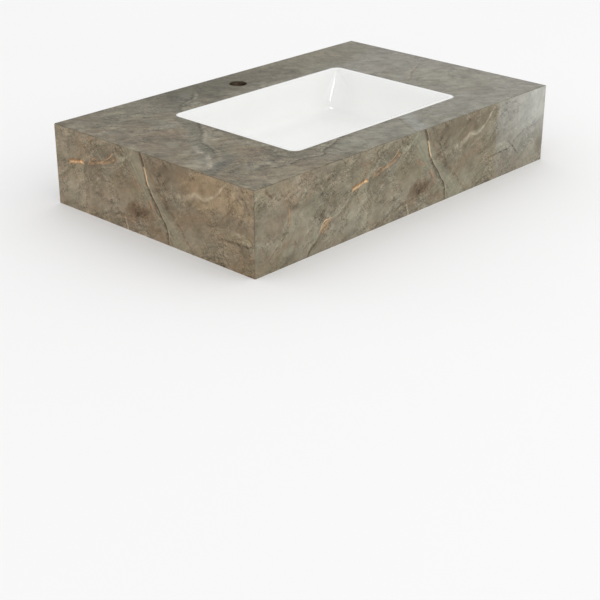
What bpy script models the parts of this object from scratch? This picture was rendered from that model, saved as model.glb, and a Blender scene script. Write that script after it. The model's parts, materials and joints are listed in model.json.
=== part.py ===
"""Wall-hung vanity top: mitred 12 mm slab shell, inset ceramic basin, push-open waste and wall brackets.

Metres, +Z up. X runs along the top, +Y points to the wall, and the origin is the middle of the
footprint at the lower edge of the aprons.
"""

import math

import bmesh
import bpy
from mathutils import Matrix, Vector

# Shell
WIDTH = 0.800
DEPTH = 0.500
HEIGHT = 0.150
SLAB = 0.012
ARRIS = 0.0012
SEAT_GAP = 0.0003
OVERRUN = 0.004

# Cut-out and tap hole
CUTOUT_SIDE_MARGIN = 0.177
CUTOUT_FRONT_MARGIN = 0.080
CUTOUT_BACK_MARGIN = 0.114
CUTOUT_RADIUS = 0.0175
TAP_HOLE_DIAMETER = 0.035
TAP_HOLE_FROM_BACK = 0.0576

# Basin
RIM_JOINT = 0.0016
LIP_LAND = 0.0045
LIP_ARRIS = 0.0008
RIM_ROUND = 0.0045
CERAMIC = 0.010
FLANGE_WIDTH = 0.020
FLANGE_THICKNESS = 0.014
FLANGE_ARRIS = 0.003
BOWL_DEPTH = 0.098
FLOOR_FALL = 0.010
BOWL_CORNER_RADIUS = 0.050
FLOOR_FILLET = 0.028
WALL_DRAFT = math.radians(8)
FLOOR_SLOPE = math.radians(7)
BEDDING = 0.0015
BEDDING_WIDTH = 0.010

# Overflow channel
OVERFLOW_DROP = 0.036
OVERFLOW_RADIUS = 0.011
DUCT_COVER = 0.0075
DUCT_THICKNESS = 0.008
DUCT_WALL = 0.0045
DUCT_WIDTH = 0.032
DUCT_ROUND = 0.0025
OVERFLOW_RING_WIDTH = 0.0035
OVERFLOW_RING_PROUD = 0.0015
OVERFLOW_SLEEVE = 0.0016
OVERFLOW_SLEEVE_LENGTH = 0.005

# Waste
DRAIN_RADIUS = 0.0225
BOSS_RADIUS = 0.036
BOSS_LENGTH = 0.0165
WASTE_FLANGE_RADIUS = 0.032
WASTE_FLANGE = 0.0025
WASTE_FLANGE_ROOM = 0.0015
WASTE_RADIUS = 0.0209
WASTE_WALL = 0.0034
WASTE_MOUTH = 0.0245
WASTE_MOUTH_DEPTH = 0.008
WASTE_TAIL_LENGTH = 0.048
WASTE_WINDOW_WIDTH = 0.013
WASTE_WINDOW_FROM_AXIS = 0.01275
SEAT_SEAL = 0.0012
CONE_SEAL = 0.003
CONE_SEAL_WIDTH = 0.008
WASHER = 0.0015
LOCKNUT = 0.006
LOCKNUT_RADIUS = 0.031
HUB_RADIUS = 0.0085
HUB_HEIGHT = 0.007
HUB_ABOVE_TAIL_END = 0.018
SPOKE_WIDTH = 0.004
SPOKE_HEIGHT = 0.005
CARTRIDGE_RADIUS = 0.0055
CARTRIDGE_COLLAR = 0.0075
CARTRIDGE_ABOVE_HUB = 0.013
CARTRIDGE_BELOW_HUB = 0.003

# Plug
PLUG_RADIUS = 0.031
PLUG_THICKNESS = 0.003
PLUG_DOME = 0.0016
PLUG_SEAL = 0.002
PLUG_SEAL_WIDTH = 0.0035
PLUG_STEM_RADIUS = 0.003
PLUG_STEM_LENGTH = 0.028
PLUG_STEM_CLEARANCE = 0.0004
PLUG_DISC_RADIUS = 0.009
PLUG_DISC = 0.0018

# Frame under the slab
FRAME_BOARD = 0.018
FRONT_RAIL_WIDTH = 0.028
BACK_RAIL_WIDTH = 0.030
BEARER_WIDTH = 0.040
EDGE_STRIP_WIDTH = 0.030
CORNER_BLOCK = 0.032
CORNER_BLOCK_HEIGHT = 0.070
BOARD_ARRIS = 0.001

# Basin clips
CLIP_WIDTH = 0.024
CLIP_STEEL = 0.003
CLIP_FOOT = 0.012
CLIP_SPAN = 0.018
CLIP_SPACING = 0.170
CLIP_SCREW_RADIUS = 0.003
CLIP_SCREW_CLEARANCE = 0.0004
CLIP_HEAD_RADIUS = 0.0055
CLIP_HEAD = 0.004
ANCHOR_RADIUS = 0.005
ANCHOR_LENGTH = 0.008
ANCHOR_CAP = 0.0015

# Wall brackets
ARM_SIDE = 0.030
ARM_WALL = 0.002
ARM_LENGTH = 0.360
WALL_PLATE_WIDTH = 0.072
WALL_PLATE_HEIGHT = 0.105
WALL_PLATE = 0.005
WALL_HOLE_RADIUS = 0.0045
WALL_HOLE_EDGE = 0.012
GUSSET = 0.005
GUSSET_REACH = 0.070
GUSSET_DROP = 0.055
ARM_CAP = 0.003
ARM_CAP_TONGUE = 0.010
BRACKET_SCREW_RADIUS = 0.0025
BRACKET_SCREW_CLEARANCE = 0.0004
BRACKET_SCREW_BITE = 0.013
BRACKET_HEAD_RADIUS = 0.0055
BRACKET_HEAD = 0.0035
BRACKET_SCREW_INSET = 0.060
GUSSET_TO_SCREW = 0.020

# Facets
CORNER_STEPS = 7
EDGE_STEPS = 3
WALL_STEPS = 5
FILLET_STEPS = 5
FLOOR_STEPS = 5
DUCT_STEPS = 5
ROUND_STEPS = 40
SMALL_ROUND_STEPS = 16
SCREW_STEPS = 12
NUT_SIDES = 6
DOME_SHARES = (0.25, 0.5, 0.75)
SMOOTH_ANGLE = math.radians(35)

# Levels and places that follow from the sizes above
SLAB_UNDERSIDE = HEIGHT - SLAB
FRAME_TOP = SLAB_UNDERSIDE - SEAT_GAP
FRAME_UNDERSIDE = FRAME_TOP - FRAME_BOARD
APRON_INNER_X = WIDTH / 2 - SLAB
APRON_INNER_FRONT = -DEPTH / 2 + SLAB
CUTOUT_WIDTH = WIDTH - 2 * CUTOUT_SIDE_MARGIN
CUTOUT_DEPTH = DEPTH - CUTOUT_FRONT_MARGIN - CUTOUT_BACK_MARGIN
BASIN_Y = -DEPTH / 2 + CUTOUT_FRONT_MARGIN + CUTOUT_DEPTH / 2
TAP_Y = DEPTH / 2 - TAP_HOLE_FROM_BACK
FLANGE_TOP = SLAB_UNDERSIDE - BEDDING - 2 * SEAT_GAP
FLANGE_UNDERSIDE = FLANGE_TOP - FLANGE_THICKNESS
RECESS_RADIUS = WASTE_FLANGE_RADIUS + WASTE_FLANGE_ROOM
FLOOR_LOW = HEIGHT - BOWL_DEPTH
SEAT = FLOOR_LOW - 2 * SEAT_GAP - SEAT_SEAL - WASTE_FLANGE
BOSS_UNDERSIDE = SEAT - BOSS_LENGTH
TAIL_END = FLOOR_LOW - WASTE_TAIL_LENGTH
BAY_INNER = CUTOUT_WIDTH / 2 + FLANGE_WIDTH
BAY_OUTER = APRON_INNER_X - SEAT_GAP - EDGE_STRIP_WIDTH
BEARER_X = (BAY_INNER + BAY_OUTER) / 2
ARM_TOP = FRAME_UNDERSIDE - SEAT_GAP
ARM_UNDERSIDE = ARM_TOP - ARM_SIDE
PLATE_FRONT = DEPTH / 2 - WALL_PLATE
ARM_FRONT = PLATE_FRONT - ARM_LENGTH
SIDES = {"left": -1, "right": 1}
ENDS = {"front": -1, "back": 1}


# Scene and objects

def clear_scene():
    for old in list(bpy.data.objects):
        bpy.data.objects.remove(old)


def material(name, colour, roughness, metallic=0.0):
    """One Principled material, made once and shared by pieces that have the same finish."""
    found = bpy.data.materials.get(name)
    if found:
        return found
    made = bpy.data.materials.new(name)
    made.use_nodes = True
    shader = made.node_tree.nodes["Principled BSDF"]
    shader.inputs["Base Color"].default_value = (*colour, 1.0)
    shader.inputs["Roughness"].default_value = roughness
    shader.inputs["Metallic"].default_value = metallic
    made.diffuse_color = (*colour, 1.0)
    return made


def stone():
    return material("polished_stone", (0.25, 0.23, 0.19), 0.3)


def glazed_ceramic():
    return material("glazed_ceramic", (0.87, 0.87, 0.86), 0.08)


def plywood():
    return material("sealed_plywood", (0.46, 0.30, 0.17), 0.6)


def sealant():
    return material("white_sealant", (0.80, 0.80, 0.78), 0.5)


def rubber():
    return material("black_rubber", (0.03, 0.03, 0.03), 0.7)


def chrome():
    return material("chrome", (0.80, 0.81, 0.82), 0.08, 1.0)


def zinc_steel():
    return material("zinc_plated_steel", (0.60, 0.61, 0.62), 0.35, 1.0)


def painted_steel():
    return material("painted_steel", (0.06, 0.06, 0.065), 0.45, 0.3)


def brass():
    return material("brass", (0.68, 0.50, 0.22), 0.3, 1.0)


def moulded_plastic():
    return material("moulded_plastic", (0.10, 0.10, 0.10), 0.5)


def new_object(name, bm, finish, smooth=False):
    """Closes a bmesh into a named object with outward faces."""
    bmesh.ops.recalc_face_normals(bm, faces=bm.faces)
    mesh = bpy.data.meshes.new(name)
    bm.to_mesh(mesh)
    bm.free()
    if smooth:
        mesh.shade_smooth()
        mesh.set_sharp_from_angle(angle=SMOOTH_ANGLE)
    made = bpy.data.objects.new(name, mesh)
    bpy.context.scene.collection.objects.link(made)
    if finish:
        mesh.materials.append(finish)
    return made


def as_helper(made):
    """Marks an object that only cuts or adds to another."""
    made.hide_render = True
    made.display_type = "WIRE"
    return made


def combine(target, helper, operation):
    step = target.modifiers.new(operation.lower() + "_" + helper.name, "BOOLEAN")
    step.operation = operation
    step.object = as_helper(helper)
    step.solver = "EXACT"
    return target


def cut(target, helper):
    return combine(target, helper, "DIFFERENCE")


def join(target, helper):
    return combine(target, helper, "UNION")


def round_edges(target, width, segments=1, angle=math.radians(40)):
    bevel = target.modifiers.new("eased_edges", "BEVEL")
    bevel.width = width
    bevel.segments = segments
    bevel.limit_method = "ANGLE"
    bevel.angle_limit = angle
    return target


# Basic forms

def box(name, low, high, finish=None):
    bm = bmesh.new()
    size = Vector(high) - Vector(low)
    middle = (Vector(high) + Vector(low)) / 2
    bmesh.ops.create_cube(bm, size=1)
    bmesh.ops.transform(bm, matrix=Matrix.Translation(middle) @ Matrix.Diagonal((*size, 1)), verts=bm.verts)
    return new_object(name, bm, finish)


def turned(name, profile, centre, finish=None, steps=ROUND_STEPS):
    """Spins a profile of (radius, height) points round a vertical axis through centre (x, y).

    A profile that starts and ends on the axis makes a solid piece; any other is closed to a ring.
    """
    bm = bmesh.new()
    points = [bm.verts.new((radius, 0, height)) for radius, height in profile]
    edges = [bm.edges.new(pair) for pair in zip(points, points[1:])]
    on_axis = profile[0][0] == 0
    if not on_axis:
        edges.append(bm.edges.new((points[-1], points[0])))
    bmesh.ops.spin(bm, geom=points + edges, cent=(0, 0, 0), axis=(0, 0, 1), angle=math.tau,
                   steps=steps, use_merge=True)
    bmesh.ops.remove_doubles(bm, verts=bm.verts, dist=SEAT_GAP / ROUND_STEPS)
    bmesh.ops.translate(bm, verts=bm.verts, vec=(*centre, 0))
    return new_object(name, bm, finish, smooth=True)


def rod(name, radius, low, high, centre, finish=None, steps=SMALL_ROUND_STEPS):
    return turned(name, [(0, high), (radius, high), (radius, low), (0, low)], centre, finish, steps)


def prism(name, outline, low, high, finish=None, place=lambda u, v, w: (u, v, w)):
    """Extrudes a closed outline of (u, v) points from w = low to w = high.

    place turns (u, v, w) into x, y, z.
    """
    bm = bmesh.new()
    base = bm.faces.new([bm.verts.new(place(u, v, low)) for u, v in outline])
    grown = bmesh.ops.extrude_face_region(bm, geom=[base])
    top = [item for item in grown["geom"] if isinstance(item, bmesh.types.BMVert)]
    shift = Vector(place(0, 0, high)) - Vector(place(0, 0, low))
    bmesh.ops.translate(bm, verts=top, vec=shift)
    return new_object(name, bm, finish)


def rounded_rectangle(half_x, half_y, radius):
    """Anticlockwise outline centred on zero, one arc for each corner."""
    points = []
    for quarter in range(4):
        turn = quarter * math.pi / 2
        middle = Vector((half_x - radius, half_y - radius))
        side_x = 1 if quarter in (0, 3) else -1
        side_y = 1 if quarter in (0, 1) else -1
        for step in range(CORNER_STEPS + 1):
            angle = turn + step * math.pi / 2 / CORNER_STEPS
            points.append(Vector((side_x * middle.x + radius * math.cos(angle),
                                  side_y * middle.y + radius * math.sin(angle))))
    return points


def circle(radius):
    """Anticlockwise outline with as many points as rounded_rectangle, in step with it."""
    count = 4 * (CORNER_STEPS + 1)
    turns = [(step + 1 / 2) * math.tau / count for step in range(count)]
    return [Vector((radius * math.cos(turn), radius * math.sin(turn))) for turn in turns]


def blend(first, second, share):
    return [start.lerp(end, share) for start, end in zip(first, second)]


def skin(name, rings, finish, smooth=True):
    """Closed surface through a loop of rings, each joined to the next and the last to the first."""
    bm = bmesh.new()
    rows = [[bm.verts.new(point) for point in ring] for ring in rings]
    count = len(rows[0])
    for row, following in zip(rows, rows[1:] + rows[:1]):
        for k in range(count):
            ahead = (k + 1) % count
            bm.faces.new((row[k], row[ahead], following[ahead], following[k]))
    return new_object(name, bm, finish, smooth)


# Stone shell

def mitred_panel(name, u_range, v_range, mitred, place):
    """Slab with its outer face at w = 0 and its inner face at w = SLAB, mitred on the sides named.

    Mitre faces stand back from the mitre plane by half the glue line, and the outer edge is eased.
    """
    glue = SEAT_GAP / math.sqrt(2)
    stages = [(ARRIS, 0), ((ARRIS + glue) / 2, (ARRIS - glue) / 2), (SLAB + glue, SLAB)]
    bm = bmesh.new()
    rings = []
    for inset, w in stages:
        u_low = u_range[0] + inset * ("u_low" in mitred)
        u_high = u_range[1] - inset * ("u_high" in mitred)
        v_low = v_range[0] + inset * ("v_low" in mitred)
        v_high = v_range[1] - inset * ("v_high" in mitred)
        corners = [(u_low, v_low), (u_high, v_low), (u_high, v_high), (u_low, v_high)]
        rings.append([bm.verts.new(place(u, v, w)) for u, v in corners])
    bm.faces.new(rings[0])
    bm.faces.new(rings[-1])
    for ring, following in zip(rings, rings[1:]):
        for k in range(4):
            ahead = (k + 1) % 4
            bm.faces.new((ring[k], ring[ahead], following[ahead], following[k]))
    return new_object(name, bm, stone())


def top_panel():
    top = mitred_panel("top_panel", (-WIDTH / 2, WIDTH / 2), (-DEPTH / 2, DEPTH / 2),
                       ("u_low", "u_high", "v_low"), lambda u, v, w: (u, v, HEIGHT - w))
    outline = rounded_rectangle(CUTOUT_WIDTH / 2, CUTOUT_DEPTH / 2, CUTOUT_RADIUS)
    hole = prism("cutout_cutter", outline, SLAB_UNDERSIDE - OVERRUN, HEIGHT + OVERRUN,
                 place=lambda u, v, w: (u, BASIN_Y + v, w))
    cut(top, hole)
    cut(top, rod("tap_cutter", TAP_HOLE_DIAMETER / 2, SLAB_UNDERSIDE - OVERRUN, HEIGHT + OVERRUN,
                 (0, TAP_Y), steps=ROUND_STEPS))
    for name, x, y in clip_places():
        cut(top, rod("anchor_cutter_" + name, ANCHOR_RADIUS + SEAT_GAP, SLAB_UNDERSIDE - OVERRUN,
                     SLAB_UNDERSIDE + ANCHOR_LENGTH + SEAT_GAP, (x, y)))
    return top


def aprons():
    mitred_panel("front_apron", (-WIDTH / 2, WIDTH / 2), (0, HEIGHT), ("u_low", "u_high", "v_high"),
                 lambda u, v, w: (u, -DEPTH / 2 + w, v))
    for name, side in SIDES.items():
        mitred_panel(name + "_apron", (-DEPTH / 2, DEPTH / 2), (0, HEIGHT), ("u_low", "v_high"),
                     lambda u, v, w, side=side: (side * (WIDTH / 2 - w), u, v))


# Frame under the slab

def board(name, x_range, y_range, finish, thickness=FRAME_BOARD):
    low = (x_range[0], y_range[0], FRAME_TOP - thickness)
    high = (x_range[1], y_range[1], FRAME_TOP)
    return round_edges(box(name, low, high, finish), BOARD_ARRIS)


def frame_boards():
    inner = APRON_INNER_X - 2 * SEAT_GAP
    front = APRON_INNER_FRONT + 2 * SEAT_GAP
    front_rail_back = front + FRONT_RAIL_WIDTH
    back_rail_front = DEPTH / 2 - BACK_RAIL_WIDTH
    board("front_rail", (-inner, inner), (front, front_rail_back), plywood())
    board("back_rail", (-inner, inner), (back_rail_front, DEPTH / 2), plywood())
    run = (front_rail_back + SEAT_GAP, back_rail_front - SEAT_GAP)
    for name, side in SIDES.items():
        edges = sorted((side * (BEARER_X - BEARER_WIDTH / 2), side * (BEARER_X + BEARER_WIDTH / 2)))
        bearer = board(name + "_bearer", edges, run, plywood())
        for end, y in bracket_screw_places():
            pilot = rod(f"pilot_{name}_{end}", BRACKET_SCREW_RADIUS + BRACKET_SCREW_CLEARANCE,
                        FRAME_UNDERSIDE - OVERRUN, ARM_TOP + BRACKET_SCREW_BITE + 2 * SEAT_GAP,
                        (side * BEARER_X, y))
            cut(bearer, pilot)
        strip = sorted((side * (inner - EDGE_STRIP_WIDTH), side * inner))
        board(name + "_edge_strip", strip, run, stone(), SLAB)


def corner_blocks():
    """Triangular blocks below the front rail, glued to the front and side aprons."""
    top = FRAME_UNDERSIDE - SEAT_GAP
    for name, side in SIDES.items():
        x = side * (APRON_INNER_X - 2 * SEAT_GAP)
        y = APRON_INNER_FRONT + 2 * SEAT_GAP
        outline = [(x, y), (x, y + CORNER_BLOCK), (x - side * CORNER_BLOCK, y)]
        block = prism(name + "_corner_block", outline, top - CORNER_BLOCK_HEIGHT, top, plywood())
        round_edges(block, BOARD_ARRIS)


# Basin

def wall_line():
    """Top and foot of the bowl's wall and the middle of the floor fillet, as (inset, height) points.

    Inset is measured from the edge of the cut-out; the top is where the wall leaves the rim.
    """
    top = Vector((RIM_JOINT + LIP_LAND + RIM_ROUND, HEIGHT - RIM_ROUND))
    middle_height = FLOOR_LOW + FLOOR_FALL + FLOOR_FILLET * math.cos(FLOOR_SLOPE)
    foot_height = middle_height - FLOOR_FILLET * math.sin(WALL_DRAFT)
    foot = Vector((top.x + (top.y - foot_height) * math.tan(WALL_DRAFT), foot_height))
    middle = Vector((foot.x + FLOOR_FILLET * math.cos(WALL_DRAFT), middle_height))
    return top, foot, middle


def on_wall(share, offset):
    top, foot, _ = wall_line()
    return top.lerp(foot, share) - offset * Vector((math.cos(WALL_DRAFT), math.sin(WALL_DRAFT)))


def on_fillet(share, offset):
    turn = WALL_DRAFT + (math.pi / 2 - FLOOR_SLOPE - WALL_DRAFT) * share
    middle = wall_line()[2]
    return middle - (FLOOR_FILLET + offset) * Vector((math.cos(turn), math.sin(turn)))


def bowl_section(offset):
    """Wall and floor fillet of the bowl as (inset, height) points, moved outward by offset."""
    wall = [on_wall(step / WALL_STEPS, offset) for step in range(WALL_STEPS)]
    return wall + [on_fillet(step / FILLET_STEPS, offset) for step in range(FILLET_STEPS + 1)]


def basin_ring(inset, radius, height):
    outline = rounded_rectangle(CUTOUT_WIDTH / 2 - inset, CUTOUT_DEPTH / 2 - inset, radius)
    return [(point.x, BASIN_Y + point.y, height) for point in outline]


def drain_ring(radius, height):
    return [(point.x, BASIN_Y + point.y, height) for point in circle(radius)]


def bowl_rings(offset):
    """Rings down the wall and round the floor fillet; the corner radius grows fastest near the rim."""
    section = bowl_section(offset)
    rim_radius = CUTOUT_RADIUS - section[0][0]
    rings = []
    for step, (inset, height) in enumerate(section):
        grown_share = math.sin(min(1, step / WALL_STEPS) * math.pi / 2)
        grown = rim_radius + (BOWL_CORNER_RADIUS + offset - rim_radius) * grown_share
        rings.append(basin_ring(inset, grown, height))
    return rings


def floor_rings(edge_ring, radius, height):
    """Rings that turn the floor's rounded rectangle into the circle round the drain."""
    target = drain_ring(radius, height)
    starts = [Vector(point) for point in edge_ring]
    ends = [Vector(point) for point in target]
    return [blend(starts, ends, (step + 1) / FLOOR_STEPS) for step in range(FLOOR_STEPS)]


def rim_rings():
    """The rounded edge between the lip's flat land and the wall."""
    rings = []
    last_turn = math.pi / 2 - WALL_DRAFT
    for step in range(EDGE_STEPS):
        turn = last_turn * step / EDGE_STEPS
        inset = RIM_JOINT + LIP_LAND + RIM_ROUND * math.sin(turn)
        rings.append(basin_ring(inset, CUTOUT_RADIUS - inset, HEIGHT - RIM_ROUND * (1 - math.cos(turn))))
    return rings


def flange_rings():
    """From the outer wall under the flange, round its edge and up the outside of the lip."""
    edge = CUTOUT_RADIUS + FLANGE_WIDTH
    outer_wall = bowl_section(CERAMIC)[0][0]
    return [
        basin_ring(outer_wall, CUTOUT_RADIUS - outer_wall, FLANGE_UNDERSIDE),
        basin_ring(-FLANGE_WIDTH + FLANGE_ARRIS, edge - FLANGE_ARRIS, FLANGE_UNDERSIDE),
        basin_ring(-FLANGE_WIDTH, edge, FLANGE_UNDERSIDE + FLANGE_ARRIS),
        basin_ring(-FLANGE_WIDTH, edge, FLANGE_TOP),
        basin_ring(RIM_JOINT, CUTOUT_RADIUS - RIM_JOINT, FLANGE_TOP),
        basin_ring(RIM_JOINT, CUTOUT_RADIUS - RIM_JOINT, HEIGHT - LIP_ARRIS),
        basin_ring(RIM_JOINT + LIP_ARRIS, CUTOUT_RADIUS - RIM_JOINT - LIP_ARRIS, HEIGHT),
    ]


def duct(name, cover, thickness, half_width, rounding, top, reach):
    """Channel that follows the bowl's front wall and floor from the overflow hole to the drain.

    cover is its distance from the bowl's face, top the height on that face where it starts and reach
    the distance from the drain's axis where it ends.
    """
    wall_top, wall_foot, _ = wall_line()
    start = (wall_top.y - top) / (wall_top.y - wall_foot.y)

    def side(offset):
        bend = [on_fillet((step + 1 / 2) / DUCT_STEPS, offset) for step in range(DUCT_STEPS)]
        return [on_wall(start, offset), *bend, Vector((CUTOUT_DEPTH / 2 - reach, FLOOR_LOW - offset))]

    outline = side(cover) + side(cover + thickness)[::-1]
    front = BASIN_Y - CUTOUT_DEPTH / 2
    made = prism(name, outline, -half_width, half_width, place=lambda u, v, w: (w, front + u, v))
    return round_edges(made, rounding, 2, math.radians(60))


def overflow_point():
    """Where the overflow hole's axis meets the front wall."""
    height = HEIGHT - OVERFLOW_DROP
    top, foot, _ = wall_line()
    inset = top.lerp(foot, (top.y - height) / (top.y - foot.y)).x
    return Vector((0, BASIN_Y - CUTOUT_DEPTH / 2 + inset, height))


def along_overflow(made):
    """Turns a piece made on the vertical axis so that it points out of the front wall into the bowl."""
    turn = Matrix.Rotation(WALL_DRAFT - math.pi / 2, 4, "X")
    made.data.transform(Matrix.Translation(overflow_point()) @ turn)
    return made


def basin():
    inner = rim_rings() + bowl_rings(0)
    inner += floor_rings(inner[-1], RECESS_RADIUS, FLOOR_LOW)
    drain = [drain_ring(RECESS_RADIUS, SEAT), drain_ring(DRAIN_RADIUS, SEAT),
             drain_ring(DRAIN_RADIUS, BOSS_UNDERSIDE), drain_ring(BOSS_RADIUS, BOSS_UNDERSIDE)]
    outer_wall = [ring for ring in bowl_rings(CERAMIC) if ring[0][2] < FLANGE_UNDERSIDE - FLANGE_ARRIS]
    outer_floor = floor_rings(outer_wall[-1], BOSS_RADIUS, FLOOR_LOW - CERAMIC)
    rings = inner + drain + outer_floor[::-1] + outer_wall[::-1] + flange_rings()
    made = skin("basin", rings, glazed_ceramic())
    hole_height = HEIGHT - OVERFLOW_DROP
    duct_top = hole_height + OVERFLOW_RADIUS
    body_cover = CERAMIC / 2
    body_thickness = DUCT_COVER + DUCT_THICKNESS + DUCT_WALL - body_cover
    join(made, duct("duct_body", body_cover, body_thickness, DUCT_WIDTH / 2 + DUCT_WALL,
                    DUCT_ROUND + DUCT_WALL, FLANGE_UNDERSIDE + FLANGE_THICKNESS / 2,
                    DRAIN_RADIUS + DUCT_WALL))
    cut(made, duct("duct_cutter", DUCT_COVER, DUCT_THICKNESS, DUCT_WIDTH / 2, DUCT_ROUND, duct_top,
                   DRAIN_RADIUS / 2))
    hole = rod("overflow_cutter", OVERFLOW_RADIUS, -DUCT_COVER - DUCT_THICKNESS / 2, OVERRUN, (0, 0),
               steps=ROUND_STEPS // 2)
    cut(made, along_overflow(hole))
    return made


def sealants():
    gap = SEAT_GAP
    outer = basin_ring(gap, CUTOUT_RADIUS - gap, HEIGHT - gap)
    outer_low = basin_ring(gap, CUTOUT_RADIUS - gap, SLAB_UNDERSIDE + gap)
    inset = RIM_JOINT - gap
    inner_low = basin_ring(inset, CUTOUT_RADIUS - inset, SLAB_UNDERSIDE + gap)
    inner = basin_ring(inset, CUTOUT_RADIUS - inset, HEIGHT - gap)
    skin("rim_sealant", [outer, outer_low, inner_low, inner], sealant())
    inset_out = -(FLANGE_WIDTH + BEDDING_WIDTH) / 2
    inset_in = inset_out + BEDDING_WIDTH
    levels = (FLANGE_TOP + gap, FLANGE_TOP + gap + BEDDING)
    rings = [basin_ring(inset_out, CUTOUT_RADIUS - inset_out, levels[0]),
             basin_ring(inset_in, CUTOUT_RADIUS - inset_in, levels[0]),
             basin_ring(inset_in, CUTOUT_RADIUS - inset_in, levels[1]),
             basin_ring(inset_out, CUTOUT_RADIUS - inset_out, levels[1])]
    skin("bedding_sealant", rings, sealant())


def overflow_ring():
    """Trim ring with a sleeve that pushes into the overflow hole."""
    sleeve_outer = OVERFLOW_RADIUS - SEAT_GAP
    sleeve_inner = sleeve_outer - OVERFLOW_SLEEVE
    rim = OVERFLOW_RADIUS + OVERFLOW_RING_WIDTH
    profile = [(sleeve_inner, OVERFLOW_RING_PROUD - LIP_ARRIS),
               (sleeve_inner + LIP_ARRIS, OVERFLOW_RING_PROUD),
               (rim - LIP_ARRIS, OVERFLOW_RING_PROUD), (rim, SEAT_GAP), (sleeve_outer, SEAT_GAP),
               (sleeve_outer, -OVERFLOW_SLEEVE_LENGTH), (sleeve_inner, -OVERFLOW_SLEEVE_LENGTH)]
    return along_overflow(turned("overflow_ring", profile, (0, 0), chrome(), ROUND_STEPS // 2))


# Basin clips

def clip_places():
    """Name and plan place of each clip screw, beside the short sides of the basin's flange."""
    x = BAY_INNER + CLIP_SPAN / 2
    return [(f"{side_name}_{end_name}", side * x, BASIN_Y + end * CLIP_SPACING / 2)
            for side_name, side in SIDES.items() for end_name, end in ENDS.items()]


def basin_clips():
    """Bent strips: a foot under the flange, a screw beside it, and a heel up against the slab."""
    foot_top = FLANGE_UNDERSIDE - SEAT_GAP
    foot_low = foot_top - CLIP_STEEL
    heel_top = SLAB_UNDERSIDE - SEAT_GAP
    heel = CLIP_SPAN
    outline = [(-CLIP_FOOT, foot_low), (heel, foot_low), (heel, heel_top), (heel - CLIP_STEEL, heel_top),
               (heel - CLIP_STEEL, foot_top), (-CLIP_FOOT, foot_top)]
    for name, x, y in clip_places():
        side = math.copysign(1, x)
        clip = prism("clip_" + name, outline, -CLIP_WIDTH / 2, CLIP_WIDTH / 2, zinc_steel(),
                     place=lambda u, v, w, side=side, y=y: (side * (BAY_INNER + u), y + w, v))
        hole_radius = CLIP_SCREW_RADIUS + CLIP_SCREW_CLEARANCE
        cut(clip, rod("clip_cutter_" + name, hole_radius, foot_low - OVERRUN, foot_top + OVERRUN, (x, y)))
        clip_screw(name, x, y, foot_low - SEAT_GAP)
        clip_anchor(name, x, y)


def clip_screw(name, x, y, head_top):
    tip = SLAB_UNDERSIDE + ANCHOR_LENGTH - ANCHOR_CAP - SEAT_GAP
    chamfer = CLIP_SCREW_RADIUS / 3
    profile = [(0, tip), (CLIP_SCREW_RADIUS - chamfer, tip), (CLIP_SCREW_RADIUS, tip - chamfer),
               (CLIP_SCREW_RADIUS, head_top), (CLIP_HEAD_RADIUS, head_top),
               (CLIP_HEAD_RADIUS, head_top - CLIP_HEAD), (0, head_top - CLIP_HEAD)]
    return turned("clip_screw_" + name, profile, (x, y), zinc_steel(), SCREW_STEPS)


def clip_anchor(name, x, y):
    """Blind threaded sleeve bonded into the slab from below."""
    bore = CLIP_SCREW_RADIUS + SEAT_GAP
    top = SLAB_UNDERSIDE + ANCHOR_LENGTH
    profile = [(0, top), (ANCHOR_RADIUS, top), (ANCHOR_RADIUS, SLAB_UNDERSIDE), (bore, SLAB_UNDERSIDE),
               (bore, top - ANCHOR_CAP), (0, top - ANCHOR_CAP)]
    return turned("clip_anchor_" + name, profile, (x, y), brass(), SCREW_STEPS)


# Waste

DRAIN_AXIS = (0, BASIN_Y)


def waste_body():
    """Flanged tube with overflow windows and a hub on two spokes that holds the latch."""
    bore = WASTE_RADIUS - WASTE_WALL
    flange_low = FLOOR_LOW - WASTE_FLANGE
    rim_chamfer = WASTE_FLANGE / 3
    profile = [(WASTE_MOUTH, FLOOR_LOW), (WASTE_FLANGE_RADIUS - rim_chamfer, FLOOR_LOW),
               (WASTE_FLANGE_RADIUS, FLOOR_LOW - rim_chamfer), (WASTE_FLANGE_RADIUS, flange_low),
               (WASTE_RADIUS, flange_low), (WASTE_RADIUS, TAIL_END), (bore, TAIL_END),
               (bore, FLOOR_LOW - WASTE_MOUTH_DEPTH)]
    made = turned("waste_body", profile, DRAIN_AXIS, chrome())
    hub_low = TAIL_END + HUB_ABOVE_TAIL_END
    hub_high = hub_low + HUB_HEIGHT
    hub_bore = CARTRIDGE_RADIUS + SEAT_GAP
    x, y = DRAIN_AXIS
    spoke_low = (hub_low + hub_high - SPOKE_HEIGHT) / 2
    spoke_ends = ((hub_bore + HUB_RADIUS) / 2, bore + WASTE_WALL / 2)
    for name, side in SIDES.items():
        near, far = sorted(x + side * end for end in spoke_ends)
        join(made, box("spoke_" + name, (near, y - SPOKE_WIDTH / 2, spoke_low),
                       (far, y + SPOKE_WIDTH / 2, spoke_low + SPOKE_HEIGHT)))
    join(made, ring_piece("hub", hub_bore, HUB_RADIUS, hub_low, hub_high, None, ROUND_STEPS // 2))
    window_high = FLOOR_LOW - DUCT_COVER
    window_low = window_high - DUCT_THICKNESS
    for end, side in ENDS.items():
        near = y + side * WASTE_WINDOW_FROM_AXIS
        far = y + side * (WASTE_RADIUS + OVERRUN)
        low = (x - WASTE_WINDOW_WIDTH / 2, min(near, far), window_low)
        high = (x + WASTE_WINDOW_WIDTH / 2, max(near, far), window_high)
        cut(made, box("window_" + end, low, high))
    return made


def ring_piece(name, inner, outer, low, high, finish, steps=ROUND_STEPS):
    profile = [(inner, high), (outer, high), (outer, low), (inner, low)]
    return turned(name, profile, DRAIN_AXIS, finish, steps)


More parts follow.
